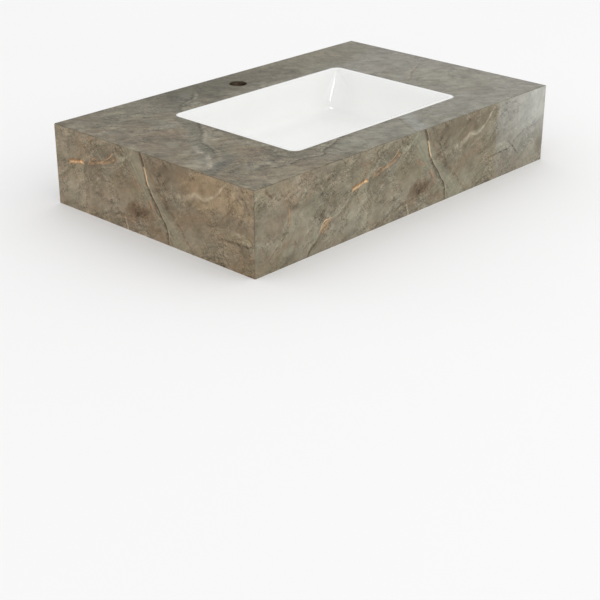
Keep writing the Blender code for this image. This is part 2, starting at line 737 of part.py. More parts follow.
def waste_seals_and_nut():
    inner = WASTE_RADIUS + SEAT_GAP
    seat_low = SEAT + SEAT_GAP
    ring_piece("waste_seat_seal", DRAIN_RADIUS + SEAT_GAP, WASTE_FLANGE_RADIUS - SEAT_GAP, seat_low,
               seat_low + SEAT_SEAL, rubber())
    cone_top = BOSS_UNDERSIDE - SEAT_GAP
    cone_low = cone_top - CONE_SEAL
    wide = WASTE_RADIUS + CONE_SEAL_WIDTH
    taper = CONE_SEAL_WIDTH / 4
    profile = [(inner, cone_top), (wide - taper, cone_top), (wide, cone_low), (inner, cone_low)]
    turned("waste_cone_seal", profile, DRAIN_AXIS, rubber())
    washer_top = cone_low - SEAT_GAP
    washer_low = washer_top - WASHER
    ring_piece("waste_washer", inner, wide, washer_low, washer_top, zinc_steel())
    nut_top = washer_low - SEAT_GAP
    corners = [step * math.tau / NUT_SIDES for step in range(NUT_SIDES)]
    hexagon = [(LOCKNUT_RADIUS * math.cos(turn), LOCKNUT_RADIUS * math.sin(turn)) for turn in corners]
    nut = prism("waste_locknut", hexagon, nut_top - LOCKNUT, nut_top, brass(),
                place=lambda u, v, w: (DRAIN_AXIS[0] + u, DRAIN_AXIS[1] + v, w))
    cut(nut, rod("locknut_cutter", inner, nut_top - LOCKNUT - OVERRUN, nut_top + OVERRUN, DRAIN_AXIS,
                 steps=ROUND_STEPS))
    return nut


def plug_cartridge():
    """Push latch: a shank through the hub, a collar on top of it and a blind bore for the stem."""
    hub_low = TAIL_END + HUB_ABOVE_TAIL_END
    hub_high = hub_low + HUB_HEIGHT
    top = hub_high + CARTRIDGE_ABOVE_HUB
    low = hub_low - CARTRIDGE_BELOW_HUB
    bore = PLUG_STEM_RADIUS + PLUG_STEM_CLEARANCE
    seat = hub_high + SEAT_GAP
    bore_low = low + PLUG_STEM_RADIUS
    profile = [(0, bore_low), (bore, bore_low), (bore, top), (CARTRIDGE_COLLAR, top),
               (CARTRIDGE_COLLAR, seat), (CARTRIDGE_RADIUS, seat), (CARTRIDGE_RADIUS, low), (0, low)]
    return turned("plug_cartridge", profile, DRAIN_AXIS, moulded_plastic(), ROUND_STEPS // 2)


def on_drain_axis(made):
    """Gives a moving piece an origin on the drain's axis at the level of the bowl's floor."""
    shift = Vector((*DRAIN_AXIS, FLOOR_LOW))
    made.data.transform(Matrix.Translation(-shift))
    made.location = shift
    return made


def plug():
    """Domed cap, its sealing ring and the stem that the latch holds."""
    seal_low = FLOOR_LOW + SEAT_GAP
    seal_high = seal_low + PLUG_SEAL
    seal_inner = WASTE_MOUTH - PLUG_SEAL_WIDTH / 4
    cap_low = seal_high + SEAT_GAP
    cap_high = cap_low + PLUG_THICKNESS
    on_drain_axis(ring_piece("plug_seal", seal_inner + SEAT_GAP, seal_inner + SEAT_GAP + PLUG_SEAL_WIDTH,
                             seal_low, seal_high, rubber()))
    dome = [(PLUG_RADIUS * (1 - share), cap_high + PLUG_DOME * (1 - (1 - share) ** 2))
            for share in DOME_SHARES]
    round_off = PLUG_THICKNESS / 3
    profile = [(0, cap_low), (PLUG_RADIUS - round_off, cap_low), (PLUG_RADIUS, cap_low + round_off),
               (PLUG_RADIUS, cap_high - round_off), (PLUG_RADIUS - round_off / 2, cap_high)]
    profile += dome + [(0, cap_high + PLUG_DOME)]
    on_drain_axis(turned("plug_cap", profile, DRAIN_AXIS, chrome()))
    disc_high = cap_low - SEAT_GAP
    disc_low = disc_high - PLUG_DISC
    stem = [(0, disc_high), (PLUG_DISC_RADIUS, disc_high), (PLUG_DISC_RADIUS, disc_low),
            (PLUG_STEM_RADIUS, disc_low), (PLUG_STEM_RADIUS, disc_high - PLUG_STEM_LENGTH),
            (0, disc_high - PLUG_STEM_LENGTH)]
    on_drain_axis(turned("plug_stem", stem, DRAIN_AXIS, zinc_steel(), ROUND_STEPS // 2))


# Wall brackets

def bracket_screw_places():
    near_front = ARM_FRONT + BRACKET_SCREW_INSET
    near_back = PLATE_FRONT - GUSSET_REACH - GUSSET_TO_SCREW
    return [("front", near_front), ("back", near_back)]


def bracket(name, x):
    """Square-tube arm and triangular gusset welded to a wall plate with four fixing holes."""
    half = ARM_SIDE / 2
    plate_low = ARM_TOP - WALL_PLATE_HEIGHT
    made = box(name + "_bracket", (x - WALL_PLATE_WIDTH / 2, PLATE_FRONT, plate_low),
               (x + WALL_PLATE_WIDTH / 2, DEPTH / 2, ARM_TOP), painted_steel())
    join(made, box("arm_" + name, (x - half, ARM_FRONT, ARM_UNDERSIDE),
                   (x + half, PLATE_FRONT + WALL_PLATE / 2, ARM_TOP)))
    corner = (PLATE_FRONT + WALL_PLATE / 2, ARM_UNDERSIDE + ARM_WALL / 2)
    outline = [corner, (PLATE_FRONT - GUSSET_REACH, corner[1]), (PLATE_FRONT - GUSSET_REACH, ARM_UNDERSIDE),
               (corner[0], ARM_UNDERSIDE - GUSSET_DROP)]
    join(made, prism("gusset_" + name, outline, x - GUSSET / 2, x + GUSSET / 2,
                     place=lambda u, v, w: (w, u, v)))
    inner = half - ARM_WALL
    cut(made, box("arm_hollow_" + name, (x - inner, ARM_FRONT - OVERRUN, ARM_UNDERSIDE + ARM_WALL),
                  (x + inner, PLATE_FRONT, ARM_TOP - ARM_WALL)))
    offset_x = WALL_PLATE_WIDTH / 2 - WALL_HOLE_EDGE
    for row, z in (("upper", ARM_TOP - WALL_HOLE_EDGE), ("lower", plate_low + WALL_HOLE_EDGE)):
        for column, side in SIDES.items():
            hole = rod(f"wall_hole_{name}_{row}_{column}", WALL_HOLE_RADIUS, -WALL_PLATE - OVERRUN,
                       WALL_PLATE + OVERRUN, (0, 0))
            place = Matrix.Translation((x + side * offset_x, PLATE_FRONT, z))
            hole.data.transform(place @ Matrix.Rotation(math.pi / 2, 4, "X"))
            cut(made, hole)
    for end, y in bracket_screw_places():
        cut(made, rod(f"arm_hole_{name}_{end}", BRACKET_SCREW_RADIUS + BRACKET_SCREW_CLEARANCE,
                      ARM_UNDERSIDE - OVERRUN, ARM_TOP + OVERRUN, (x, y)))
        bracket_screw(name + "_" + end, x, y)
    return made


def bracket_screw(name, x, y):
    head_top = ARM_UNDERSIDE - SEAT_GAP
    tip = ARM_TOP + BRACKET_SCREW_BITE
    point = BRACKET_SCREW_RADIUS
    profile = [(0, tip), (point / 3, tip), (BRACKET_SCREW_RADIUS, tip - 2 * point),
               (BRACKET_SCREW_RADIUS, head_top), (BRACKET_HEAD_RADIUS, head_top),
               (BRACKET_HEAD_RADIUS, head_top - BRACKET_HEAD / 2),
               (BRACKET_HEAD_RADIUS / 2, head_top - BRACKET_HEAD), (0, head_top - BRACKET_HEAD)]
    return turned("bracket_screw_" + name, profile, (x, y), zinc_steel(), SCREW_STEPS)


def arm_cap(name, x):
    """Moulded plug that closes the front end of the square tube."""
    half = ARM_SIDE / 2
    inner = half - ARM_WALL - SEAT_GAP
    middle_z = ARM_UNDERSIDE + half
    face_back = ARM_FRONT - SEAT_GAP
    made = box(name + "_arm_cap", (x - half, face_back - ARM_CAP, ARM_UNDERSIDE),
               (x + half, face_back, ARM_TOP), moulded_plastic())
    round_edges(made, BOARD_ARRIS)
    tongue = box("tongue_" + name, (x - inner, face_back - ARM_CAP / 2, middle_z - inner),
                 (x + inner, ARM_FRONT + ARM_CAP_TONGUE, middle_z + inner))
    return join(made, tongue)


def brackets():
    for name, side in SIDES.items():
        bracket(name, side * BEARER_X)
        arm_cap(name, side * BEARER_X)


def build():
    clear_scene()
    top_panel()
    aprons()
    frame_boards()
    corner_blocks()
    basin()
    sealants()
    basin_clips()
    overflow_ring()
    waste_body()
    waste_seals_and_nut()
    plug_cartridge()
    plug()
    brackets()


build()
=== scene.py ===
"""Looks of the vanity sink top: stone print, glazed basin, fittings, studio and camera."""

import json
import math

import bmesh
import bpy
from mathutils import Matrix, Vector


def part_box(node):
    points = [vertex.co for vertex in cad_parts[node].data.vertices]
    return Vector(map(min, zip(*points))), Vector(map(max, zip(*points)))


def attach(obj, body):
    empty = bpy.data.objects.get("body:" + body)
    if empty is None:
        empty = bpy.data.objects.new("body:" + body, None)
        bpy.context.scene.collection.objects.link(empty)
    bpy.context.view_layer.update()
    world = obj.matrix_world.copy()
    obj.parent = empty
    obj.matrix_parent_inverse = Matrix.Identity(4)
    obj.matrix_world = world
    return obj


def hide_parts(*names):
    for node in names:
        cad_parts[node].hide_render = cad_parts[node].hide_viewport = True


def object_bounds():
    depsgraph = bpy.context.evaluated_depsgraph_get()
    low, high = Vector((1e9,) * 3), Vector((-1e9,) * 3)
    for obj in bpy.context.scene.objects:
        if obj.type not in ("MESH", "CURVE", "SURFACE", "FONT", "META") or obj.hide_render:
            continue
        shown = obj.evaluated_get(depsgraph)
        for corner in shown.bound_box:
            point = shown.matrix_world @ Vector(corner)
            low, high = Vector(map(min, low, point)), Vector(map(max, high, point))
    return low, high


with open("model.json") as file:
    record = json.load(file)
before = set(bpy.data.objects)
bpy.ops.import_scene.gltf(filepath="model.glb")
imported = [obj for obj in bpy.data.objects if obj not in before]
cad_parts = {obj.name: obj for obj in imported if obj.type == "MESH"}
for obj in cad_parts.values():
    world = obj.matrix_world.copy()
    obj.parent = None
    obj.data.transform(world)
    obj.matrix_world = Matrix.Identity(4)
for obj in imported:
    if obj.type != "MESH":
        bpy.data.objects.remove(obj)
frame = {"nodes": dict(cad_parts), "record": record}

CAD_LOW, CAD_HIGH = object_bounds()

MM = 0.001

# Sizes read from the frame, and the gap that it leaves between touching solids
HALF_WIDTH = CAD_HIGH.x
HALF_DEPTH = CAD_HIGH.y
HEIGHT = CAD_HIGH.z
FIT_GAP = 0.3 * MM
DRAIN_Y = (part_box("plug_cap")[0].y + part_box("plug_cap")[1].y) / 2

# Basin, as the CAD solid is drawn, with finer steps
CUTOUT_HALF_X = 223 * MM
CUTOUT_HALF_Y = 153 * MM
CUTOUT_RADIUS = 17.5 * MM
RIM_JOINT = 1.6 * MM
LIP_LAND = 4.5 * MM
LIP_ARRIS = 0.8 * MM
RIM_ROUND = 4.5 * MM
CERAMIC = 10 * MM
FLANGE_WIDTH = 20 * MM
FLANGE_THICKNESS = 14 * MM
FLANGE_ARRIS = 3 * MM
FLANGE_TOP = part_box("bedding_sealant")[0].z - FIT_GAP
BOWL_DEPTH = 98 * MM
FLOOR_FALL = 10 * MM
BOWL_CORNER_RADIUS = 50 * MM
FLOOR_FILLET = 28 * MM
WALL_DRAFT = math.radians(8)
FLOOR_SLOPE = math.radians(7)
FLOOR_LOW = HEIGHT - BOWL_DEPTH
RECESS_RADIUS = 33.5 * MM
RECESS_EDGE = 1.2 * MM
DRAIN_RADIUS = 22.5 * MM
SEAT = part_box("waste_seat_seal")[0].z - FIT_GAP
BOSS_RADIUS = 36 * MM
BOSS_LENGTH = 16.5 * MM
OVERFLOW_DROP = 36 * MM
OVERFLOW_RADIUS = 11 * MM
DUCT_COVER = 7.5 * MM
DUCT_THICKNESS = 8 * MM
DUCT_WALL = 4.5 * MM
DUCT_WIDTH = 32 * MM
DUCT_ROUND = 2.5 * MM
OVERRUN = 4 * MM
CORNER_STEPS = 24
EDGE_STEPS = 8
WALL_STEPS = 12
FILLET_STEPS = 14
FLOOR_STEPS = 14
DUCT_STEPS = 11
ROUND_STEPS = 64

# Camera: it stands off the front left corner and looks down at the top
CAMERA_PLACE = (-1.799, -1.661, 0.892)
CAMERA_AIM = (-0.641, -0.574, 0.150)
SENSOR = 36.0
LENS = 82.03


def tone(red, green, blue):
    """A colour picked on the usual 0 to 255 scale, as linear light."""
    shares = [level / 255 for level in (red, green, blue)]
    return tuple(s / 12.92 if s <= 0.04045 else ((s + 0.055) / 1.055) ** 2.4 for s in shares) + (1.0,)


class Graph:
    """Adds nodes to one tree. Each method returns the new node's output socket."""

    def __init__(self, tree):
        self.tree = tree

    def add(self, kind, **settings):
        made = self.tree.nodes.new("ShaderNode" + kind)
        for name, value in settings.items():
            setattr(made, name, value)
        return made

    def feed(self, socket, value):
        if isinstance(value, bpy.types.NodeSocket):
            self.tree.links.new(value, socket)
        else:
            socket.default_value = value

    def math(self, operation, *values):
        made = self.add("Math", operation=operation)
        for socket, value in zip(made.inputs, values):
            self.feed(socket, value)
        return made.outputs[0]

    def vector_math(self, operation, *values):
        made = self.add("VectorMath", operation=operation)
        for socket, value in zip(made.inputs, values):
            self.feed(socket, value)
        return made.outputs["Value" if operation == "LENGTH" else "Vector"]

    def scaled(self, vector, factor):
        made = self.add("VectorMath", operation="SCALE")
        self.feed(made.inputs[0], vector)
        self.feed(made.inputs["Scale"], factor)
        return made.outputs["Vector"]

    def split(self, vector):
        made = self.add("SeparateXYZ")
        self.feed(made.inputs[0], vector)
        return made.outputs

    def join(self, x, y, z=0.0):
        made = self.add("CombineXYZ")
        for socket, value in zip(made.inputs, (x, y, z)):
            self.feed(socket, value)
        return made.outputs[0]

    def place(self, vector, location=(0, 0, 0), turn=0.0, scale=(1, 1, 1)):
        """The point as seen from a frame at location, turned about Z, with scale as its unit."""
        made = self.add("Mapping", vector_type="TEXTURE")
        self.feed(made.inputs["Vector"], vector)
        made.inputs["Location"].default_value = location
        made.inputs["Rotation"].default_value = (0, 0, turn)
        made.inputs["Scale"].default_value = scale
        return made.outputs[0]

    def noise(self, vector, size, detail=2.0, roughness=0.5, distortion=0.0, colour=False):
        """Noise whose features are about size metres across."""
        made = self.add("TexNoise", noise_dimensions="3D", normalize=True)
        self.feed(made.inputs["Vector"], vector)
        made.inputs["Scale"].default_value = 1 / size
        made.inputs["Detail"].default_value = detail
        made.inputs["Roughness"].default_value = roughness
        made.inputs["Distortion"].default_value = distortion
        return made.outputs["Color" if colour else "Fac"]

    def span(self, value, low, high, to_low=0.0, to_high=1.0, smooth=True):
        """Maps low..high to to_low..to_high and stays there outside it."""
        made = self.add("MapRange", clamp=True, interpolation_type="SMOOTHSTEP" if smooth else "LINEAR")
        for socket, item in zip(made.inputs, (value, low, high, to_low, to_high)):
            self.feed(socket, item)
        return made.outputs[0]

    def curve(self, value, points):
        """Smooth curve through (input, output) points, both from 0 to 1."""
        made = self.add("FloatCurve")
        self.feed(made.inputs["Value"], value)
        line = made.mapping.curves[0]
        line.points[0].location = points[0]
        line.points[1].location = points[-1]
        for point in points[1:-1]:
            line.points.new(*point)
        made.mapping.update()
        return made.outputs[0]

    def ramp(self, value, stops):
        """Colour ramp through (position, colour) stops."""
        made = self.add("ValToRGB")
        self.feed(made.inputs[0], value)
        steps = made.color_ramp.elements
        while len(steps) < len(stops):
            steps.new(0.5)
        for step, (position, colour) in zip(steps, stops):
            step.position = position
            step.color = colour
        return made.outputs[0]

    def mix(self, share, first, second, blend="MIX"):
        made = self.add("Mix", data_type="RGBA", blend_type=blend, clamp_factor=True)
        self.feed(made.inputs["Factor"], share)
        self.feed(made.inputs[6], first)
        self.feed(made.inputs[7], second)
        return made.outputs[2]

    def bump(self, height, depth):
        """Bump whose height of one stands depth metres high."""
        made = self.add("Bump")
        made.inputs["Strength"].default_value = 1.0
        made.inputs["Distance"].default_value = depth
        self.feed(made.inputs["Height"], height)
        return made.outputs[0]


# Stone print

OLIVE = tone(133, 127, 107)
DARK_OLIVE = tone(112, 105, 88)
BROWN = tone(134, 119, 99)
DARK_BROWN = tone(102, 86, 69)
GREY = tone(148, 144, 129)
MAUVE = tone(135, 126, 110)
GREY_GREEN = tone(140, 137, 120)
BACK_OLIVE = tone(99, 94, 77)
# Partly the stone's grey, partly painted sheen on the top
GREY_AND_SHEEN = tone(158, 155, 148)
PALE = tone(176, 168, 149)
WARM_GREY = tone(152, 140, 120)
CRACK = tone(82, 73, 60)
COPPER = tone(183, 148, 108)
RUST = tone(146, 108, 78)
CREAM = tone(216, 190, 154)
VEIN_BROWN = tone(88, 69, 54)
VEIN_PINK = tone(176, 160, 145)
PINK = tone(180, 142, 116)
DULL_PINK = tone(168, 140, 122)
END_GREY = tone(151, 150, 144)
# Painted sheen at the corner of the front and right aprons
END_SHEEN = tone(176, 177, 172)
STRIPE_LIGHT = tone(156, 140, 114)
SIDE_BROWN = tone(164, 146, 118)
CRACK_SHADE = tone(120, 120, 106)
PATCH_GREY = tone(106, 105, 99)
EDGE_HALO = tone(196, 186, 172)
EDGE_LIGHT = tone(204, 193, 178)
STREAK_GREY = tone(168, 168, 163)
SQUIGGLE_GREY = tone(174, 171, 164)

# How a print's points are moved about: noise size and reach in millimetres, and a step of the seed
GENTLE_WARP = ((130, 70, 0.0), (30, 10, 0.5))
SHAKEN_WARP = ((32, 10, 20), (7, 3.2, 21))
PATCHY_WARP = ((55, 50, 24), (12, 16, 25))

# Clouds of paint: size in millimetres, noise levels where each starts and is full, paint, share
PAINT_CLOUDS = (
    (70, 0.50, 0.60, BROWN, 0.70),
    (50, 0.52, 0.62, DARK_OLIVE, 0.50),
    (42, 0.51, 0.61, GREY, 0.55),
    (22, 0.53, 0.66, BROWN, 0.35),
    (18, 0.53, 0.66, GREY_GREEN, 0.35),
)

# Strokes over a print: seed step, turn from its lean, stretch, size in millimetres, roughness, depth
STROKES = ((3, 0.0, 6.0, 6.0, 0.64, 0.13), (3.5, 1.2, 3.0, 5.0, 0.62, 0.12))

# Sizes and depths of a print's other layers, and the noise levels of their darkest and lightest places
GROUND_SIZE = 90 * MM
CRUMB_SIZE = 8 * MM
MOTTLE_SIZE = 16 * MM
BLOTCH_SIZE = 60 * MM
BLOTCH_DEPTH = 0.10
GRAIN_SIZE = 2.8 * MM
GRAIN_DEPTH = 0.17
WISP_SIZE = 16 * MM
WISP_STRETCH = 2.5
CROWDING_SIZE = 45 * MM
DARK_LEVEL = 0.36
LIGHT_LEVEL = 0.64

# A mark's coat is full within this share of its half width
FULL_SHARE = 0.15


def shifted(graph, point, seed):
    """The same point in another slice of the noise."""
    return graph.vector_math("ADD", point, (0.0, 0.0, seed))


def drifted(graph, point, size, reach, seed):
    """The point moved about by noise of one size, by up to half of reach each way."""
    swirl = graph.noise(shifted(graph, point, seed), size, colour=True)
    centred = graph.vector_math("SUBTRACT", swirl, (0.5, 0.5, 0.5))
    return graph.vector_math("ADD", point, graph.scaled(centred, reach))


def warped(graph, point, seed, warps):
    """The point moved about by each warp in turn."""
    for size, reach, step in warps:
        point = drifted(graph, point, size * MM, reach * MM, seed + step)
    return point


def between(graph, value, places, *shares):
    """How far a value has come between two places given in millimetres."""
    start, end = places
    return graph.span(value, start * MM, end * MM, *shares)


def lie_along(graph, point, places):
    """How far a point lies from a drawn line, in metres, with its sign, and the line's strength there.

    places are (from the left, from the top, strength), in millimetres and from 0 to 1.
    """
    start = Vector(places[0][:2]) * MM
    end = Vector(places[-1][:2]) * MM
    run = end - start
    length = run.length
    turn = math.atan2(run.y, run.x)
    ahead = run / length
    across = Vector((-ahead.y, ahead.x))
    offsets = []
    strengths = []
    for left, top, strength in places:
        step = Vector((left, top)) * MM - start
        share = min(1.0, max(0.0, step.dot(ahead) / length))
        offsets.append((share, 0.5 + step.dot(across) / length))
        strengths.append((share, strength))
    local = graph.split(graph.place(point, (*start, 0), turn, (length, length, length)))
    offset = graph.math("SUBTRACT", graph.curve(local[0], offsets), 0.5)
    away = graph.math("MULTIPLY", graph.math("SUBTRACT", local[1], offset), length)
    return away, graph.curve(local[0], strengths)


class Print:
    """One stone print under way: its colour so far, and the warped points that its marks are drawn on."""

    def __init__(self, graph, point, seed, lean, stretch, mottling, wisps, variety):
        self.graph = graph
        self.mottling = mottling
        self.wisps = wisps
        self.seed = seed
        self.point = point
        self.gentle = warped(graph, point, seed, GENTLE_WARP)
        self.shaken = warped(graph, point, seed, SHAKEN_WARP)
        self.patchy = warped(graph, point, seed, PATCHY_WARP)
        crumbs = graph.noise(shifted(graph, point, seed + 22), CRUMB_SIZE, 3.0, 0.6)
        self.broken = graph.span(crumbs, 0.38, 0.58, 0.15)
        self.along = graph.place(self.gentle, turn=lean, scale=(stretch, 1.0, 1.0))
        self.lean = lean
        clouds = graph.noise(shifted(graph, self.along, seed + 1), GROUND_SIZE, 3.0)
        self.colour = graph.mix(graph.span(clouds, 0.40, 0.60), OLIVE, MAUVE)
        for number, (size, low, high, paint, share) in enumerate(PAINT_CLOUDS):
            field = graph.noise(shifted(graph, self.along, seed + 2 + number / 4), size * MM, 3.0, 0.55)
            self.blend(graph.span(field, low, high, 0.0, share * variety), paint)

    def blend(self, share, paint):
        self.colour = self.graph.mix(share, self.colour, paint)

    def oval(self, left, top, half_long, half_wide, turn, paint, share):
        """A soft-edged patch, in millimetres on the print, turned by degrees."""
        graph = self.graph
        unit = (half_long * MM, half_wide * MM, 1)
        local = graph.place(self.patchy, (left * MM, top * MM, 0), math.radians(turn), unit)
        flat = graph.vector_math("MULTIPLY", local, (1.0, 1.0, 0.0))
        self.blend(graph.span(graph.vector_math("LENGTH", flat), 1.05, 0.35, 0.0, share), paint)

    def line(self, places, *coats):
        """Coats of (paint, width, share, sideways shift, broken or not) along one drawn line, in millimetres.

        Returns how strongly the last coat lies at each point.
        """
        graph = self.graph
        away, strength = lie_along(graph, self.shaken, places)
        for paint, width, share, shift, rough in coats:
            centred = graph.math("ABSOLUTE", graph.math("SUBTRACT", away, shift * MM))
            mask = graph.math("MULTIPLY", graph.span(centred, width * MM, FULL_SHARE * width * MM), strength)
            if rough:
                mask = graph.math("MULTIPLY", mask, self.broken)
            self.blend(graph.math("MULTIPLY", mask, share), paint)
        return mask

    def hair_lines(self, seed, size, width, share, paint, strength):
        """Thin wandering lines where a noise passes its middle, kept to a share of the face."""
        graph = self.graph
        field = graph.noise(shifted(graph, self.along, self.seed + seed), size, 5.0, 0.6, 0.2)
        line = graph.span(graph.math("ABSOLUTE", graph.math("SUBTRACT", field, 0.5)), width, 0.0)
        where = graph.noise(shifted(graph, self.point, self.seed + seed + 9), size * 2, 2.0)
        kept = graph.span(where, 0.62 - share / 4, 0.70 - share / 4)
        self.blend(graph.math("MULTIPLY", graph.math("MULTIPLY", line, kept), strength), paint)

    def strokes(self, step, turn, stretch, size, roughness):
        """Noise drawn out along the print's lean, or at a turn from it."""
        graph = self.graph
        drawn = graph.place(shifted(graph, self.gentle, self.seed + step), turn=self.lean + turn,
                            scale=(stretch, 1.0, 1.0))
        return graph.noise(drawn, size, 4.0, roughness)

    def with_layer(self, light, layer, depth):
        """Adds to the light a layer that swings it by depth either way."""
        swing = self.graph.span(layer, DARK_LEVEL, LIGHT_LEVEL, -depth, depth, smooth=False)
        return self.graph.math("ADD", light, swing)

    def finish(self, calm):
        """Lays strokes, mottling and grain over the marks and returns the height of the surface.

        calm is how far to hold them back, from 0 to 1. Fine texture is crowded in some places and sparse in
        others.
        """
        graph = self.graph
        seed = self.seed
        mottle = graph.noise(shifted(graph, self.along, seed + 4), MOTTLE_SIZE, 6.0, 0.72)
        blotch = graph.noise(shifted(graph, self.along, seed + 4.5), BLOTCH_SIZE, 3.0)
        grain = graph.noise(shifted(graph, self.point, seed + 5), GRAIN_SIZE, 3.0, 0.7)
        drawn = graph.place(shifted(graph, self.patchy, seed + 6), turn=self.lean,
                            scale=(WISP_STRETCH, 1.0, 1.0))
        wisps = graph.noise(drawn, WISP_SIZE, 2.0, 0.5)
        fine = 0.0
        for step, turn, stretch, size, roughness, depth in STROKES:
            fine = self.with_layer(fine, self.strokes(step, turn, stretch, size * MM, roughness), depth)
        fine = self.with_layer(fine, grain, GRAIN_DEPTH)
        broad = self.with_layer(0.0, mottle, self.mottling)
        broad = self.with_layer(broad, blotch, BLOTCH_DEPTH)
        broad = self.with_layer(broad, wisps, self.wisps)
        crowding = graph.noise(shifted(graph, self.patchy, seed + 7), CROWDING_SIZE, 2.0)
        busy = graph.span(crowding, 0.40, 0.62, 0.25, 1.7)
        kept = graph.math("SUBTRACT", 1.0, calm)
        fine = graph.math("MULTIPLY", fine, graph.math("MULTIPLY", busy, kept))
        broad = graph.math("MULTIPLY", broad, graph.span(calm, 0.0, 1.0, 1.0, 0.5, smooth=False))
        light = graph.math("ADD", graph.math("ADD", fine, broad), 1.0)
        self.colour = graph.mix(1.0, self.colour, graph.join(light, light, light), "MULTIPLY")
        return graph.math("ADD", mottle, graph.math("MULTIPLY", grain, 0.5))


# Marks of the apron print, in millimetres from its upper left corner, with the strength at each place

LOWER_VEIN = ((118, 150, 0.0), (135, 132, 0.7), (150, 120, 0.9), (160, 108, 1.0), (180, 100, 0.9),
              (205, 91, 0.9), (226, 76, 0.8), (236, 62, 0.0))
COPPER_KNOT = ((150, 118, 0.0), (158, 109, 0.8), (166, 103, 1.0), (174, 99, 0.8), (188, 94, 0.0))
KNOT_ABOVE = ((152, 112, 0.0), (158, 103, 0.9), (165, 97, 1.0), (176, 95, 0.7), (184, 96, 0.0))
KNOT_BELOW = ((156, 120, 0.0), (164, 113, 0.9), (171, 108, 0.8), (178, 101, 0.0))
COPPER_DASH = ((231, 62, 0.0), (235, 61, 1.0), (252, 58, 1.0), (269, 56, 1.0), (274, 55, 0.0))
COPPER_TRAIL = ((284, 52, 0.0), (297, 49, 0.6), (312, 45, 0.5), (328, 42, 0.6), (343, 36, 0.8),
                (352, 30, 1.0), (360, 27, 0.8), (366, 26, 0.0))
TRAIL_ABOVE = ((286, 54, 0.0), (296, 42, 0.8), (304, 40, 0.4), (318, 45, 0.7), (332, 36, 0.5), (344, 27, 0.9),
               (354, 18, 0.0))
TRAIL_BELOW = ((318, 54, 0.0), (330, 51, 0.7), (344, 47, 0.9), (356, 40, 0.0))
PALE_TRAIL = ((352, 26, 0.0), (362, 23, 0.7), (378, 22, 1.0), (392, 18, 1.0), (403, 8, 1.0), (408, -8, 1.0))
GREEN_BAND = ((394, -6, 1.0), (411, 20, 1.0), (434, 52, 1.0), (460, 86, 1.0), (496, 120, 1.0),
              (526, 155, 1.0))
STRONG_VEIN = ((424, -6, 0.8), (433, 18, 0.9), (439, 40, 1.0), (448, 60, 1.0), (461, 82, 0.9),
               (474, 102, 0.8), (487, 122, 0.8), (492, 155, 0.7))
VEIN_LIGHT = ((432, 24, 0.0), (437, 36, 1.0), (441, 48, 1.0), (446, 58, 0.3), (452, 66, 0.0))
PINK_FLECK = ((446, 80, 0.0), (450, 88, 1.0), (453, 96, 0.8), (457, 106, 0.5), (460, 114, 0.0))
RUST_FLECK = ((402, 52, 0.0), (410, 58, 0.7), (424, 64, 0.8), (436, 70, 0.0))
PALE_SWATHE = ((500, 52, 0.0), (520, 53, 0.8), (545, 48, 1.0), (570, 42, 1.0), (592, 41, 0.8), (604, 34, 0.0))
PALE_SQUIGGLE = ((545, 49, 0.0), (562, 43, 0.9), (585, 43, 1.0), (600, 36, 0.9), (612, 26, 0.8),
                 (622, 14, 0.9), (634, 6, 0.0))
STAR_CRACK = ((585, 104, 0.0), (610, 102, 0.6), (640, 101, 0.9), (668, 100, 0.9), (686, 97, 1.0),
              (700, 87, 0.9), (718, 79, 0.6), (745, 74, 0.5), (775, 69, 0.0))
STAR_BRANCH = ((688, 92, 0.0), (697, 98, 1.0), (708, 108, 0.9), (720, 118, 0.0))
STAR_TWIG = ((672, 80, 0.0), (682, 86, 0.6), (694, 95, 0.9), (698, 98, 0.0))
SMALL_COPPER = ((76, 50, 0.0), (80, 60, 0.9), (81, 72, 0.8), (76, 90, 0.0))
LEFT_CRACK = ((28, 128, 0.0), (50, 112, 0.8), (66, 98, 0.6), (78, 88, 0.0))
LEFT_TWIG = ((90, 108, 0.0), (98, 122, 0.5), (108, 142, 0.0))
CORNER_SPOT = ((24, 2, 0.0), (30, 12, 0.9), (36, 18, 0.8), (42, 22, 0.0))
PALE_FOOT = ((378, 128, 0.0), (383, 138, 0.9), (386, 156, 0.8))
FOOT_CRACK = ((116, 156, 0.8), (128, 142, 1.0), (142, 130, 0.8), (154, 116, 0.0))

# Patches of the apron print: place, half length and half width in millimetres, turn in degrees, paint, share

APRON_PATCHES = (
    (95, 22, 50, 22, 0, BROWN, 0.5), (45, 80, 45, 45, 0, BROWN, 0.3),
    (120, 70, 75, 28, -25, GREY_GREEN, 0.5), (40, 132, 50, 26, -15, OLIVE, 0.5),
    (190, 62, 40, 22, -20, DARK_OLIVE, 0.55), (330, 95, 95, 45, 0, MAUVE, 0.5),
    (250, 112, 46, 34, -30, GREY, 0.45), (180, 135, 30, 18, 0, MAUVE, 0.4),
    (415, 108, 40, 24, 5, DARK_BROWN, 0.85), (355, 112, 22, 20, 0, GREY, 0.4),
    (320, 20, 70, 18, -8, DARK_OLIVE, 0.45), (380, 60, 50, 22, 10, DARK_BROWN, 0.35),
    (565, 92, 75, 36, -20, BROWN, 0.4), (490, 25, 60, 26, -10, DARK_OLIVE, 0.4),
    (580, 18, 55, 16, -10, DARK_BROWN, 0.3), (500, 40, 200, 70, 0, DARK_OLIVE, 0.45),
    (260, 130, 110, 30, 0, GREY, 0.35), (570, 125, 110, 40, 0, GREY_GREEN, 0.55),
    (50, 15, 70, 30, 0, WARM_GREY, 0.45), (190, 25, 70, 26, 0, DARK_OLIVE, 0.35),
    (345, 8, 70, 14, 0, DARK_OLIVE, 0.5), (480, 18, 80, 26, 0, DARK_BROWN, 0.3),
)
SIDE_PATCHES = ((600, 28, 110, 44, 0, SIDE_BROWN, 0.5), (215, 20, 60, 40, 0, GREY, 0.35))
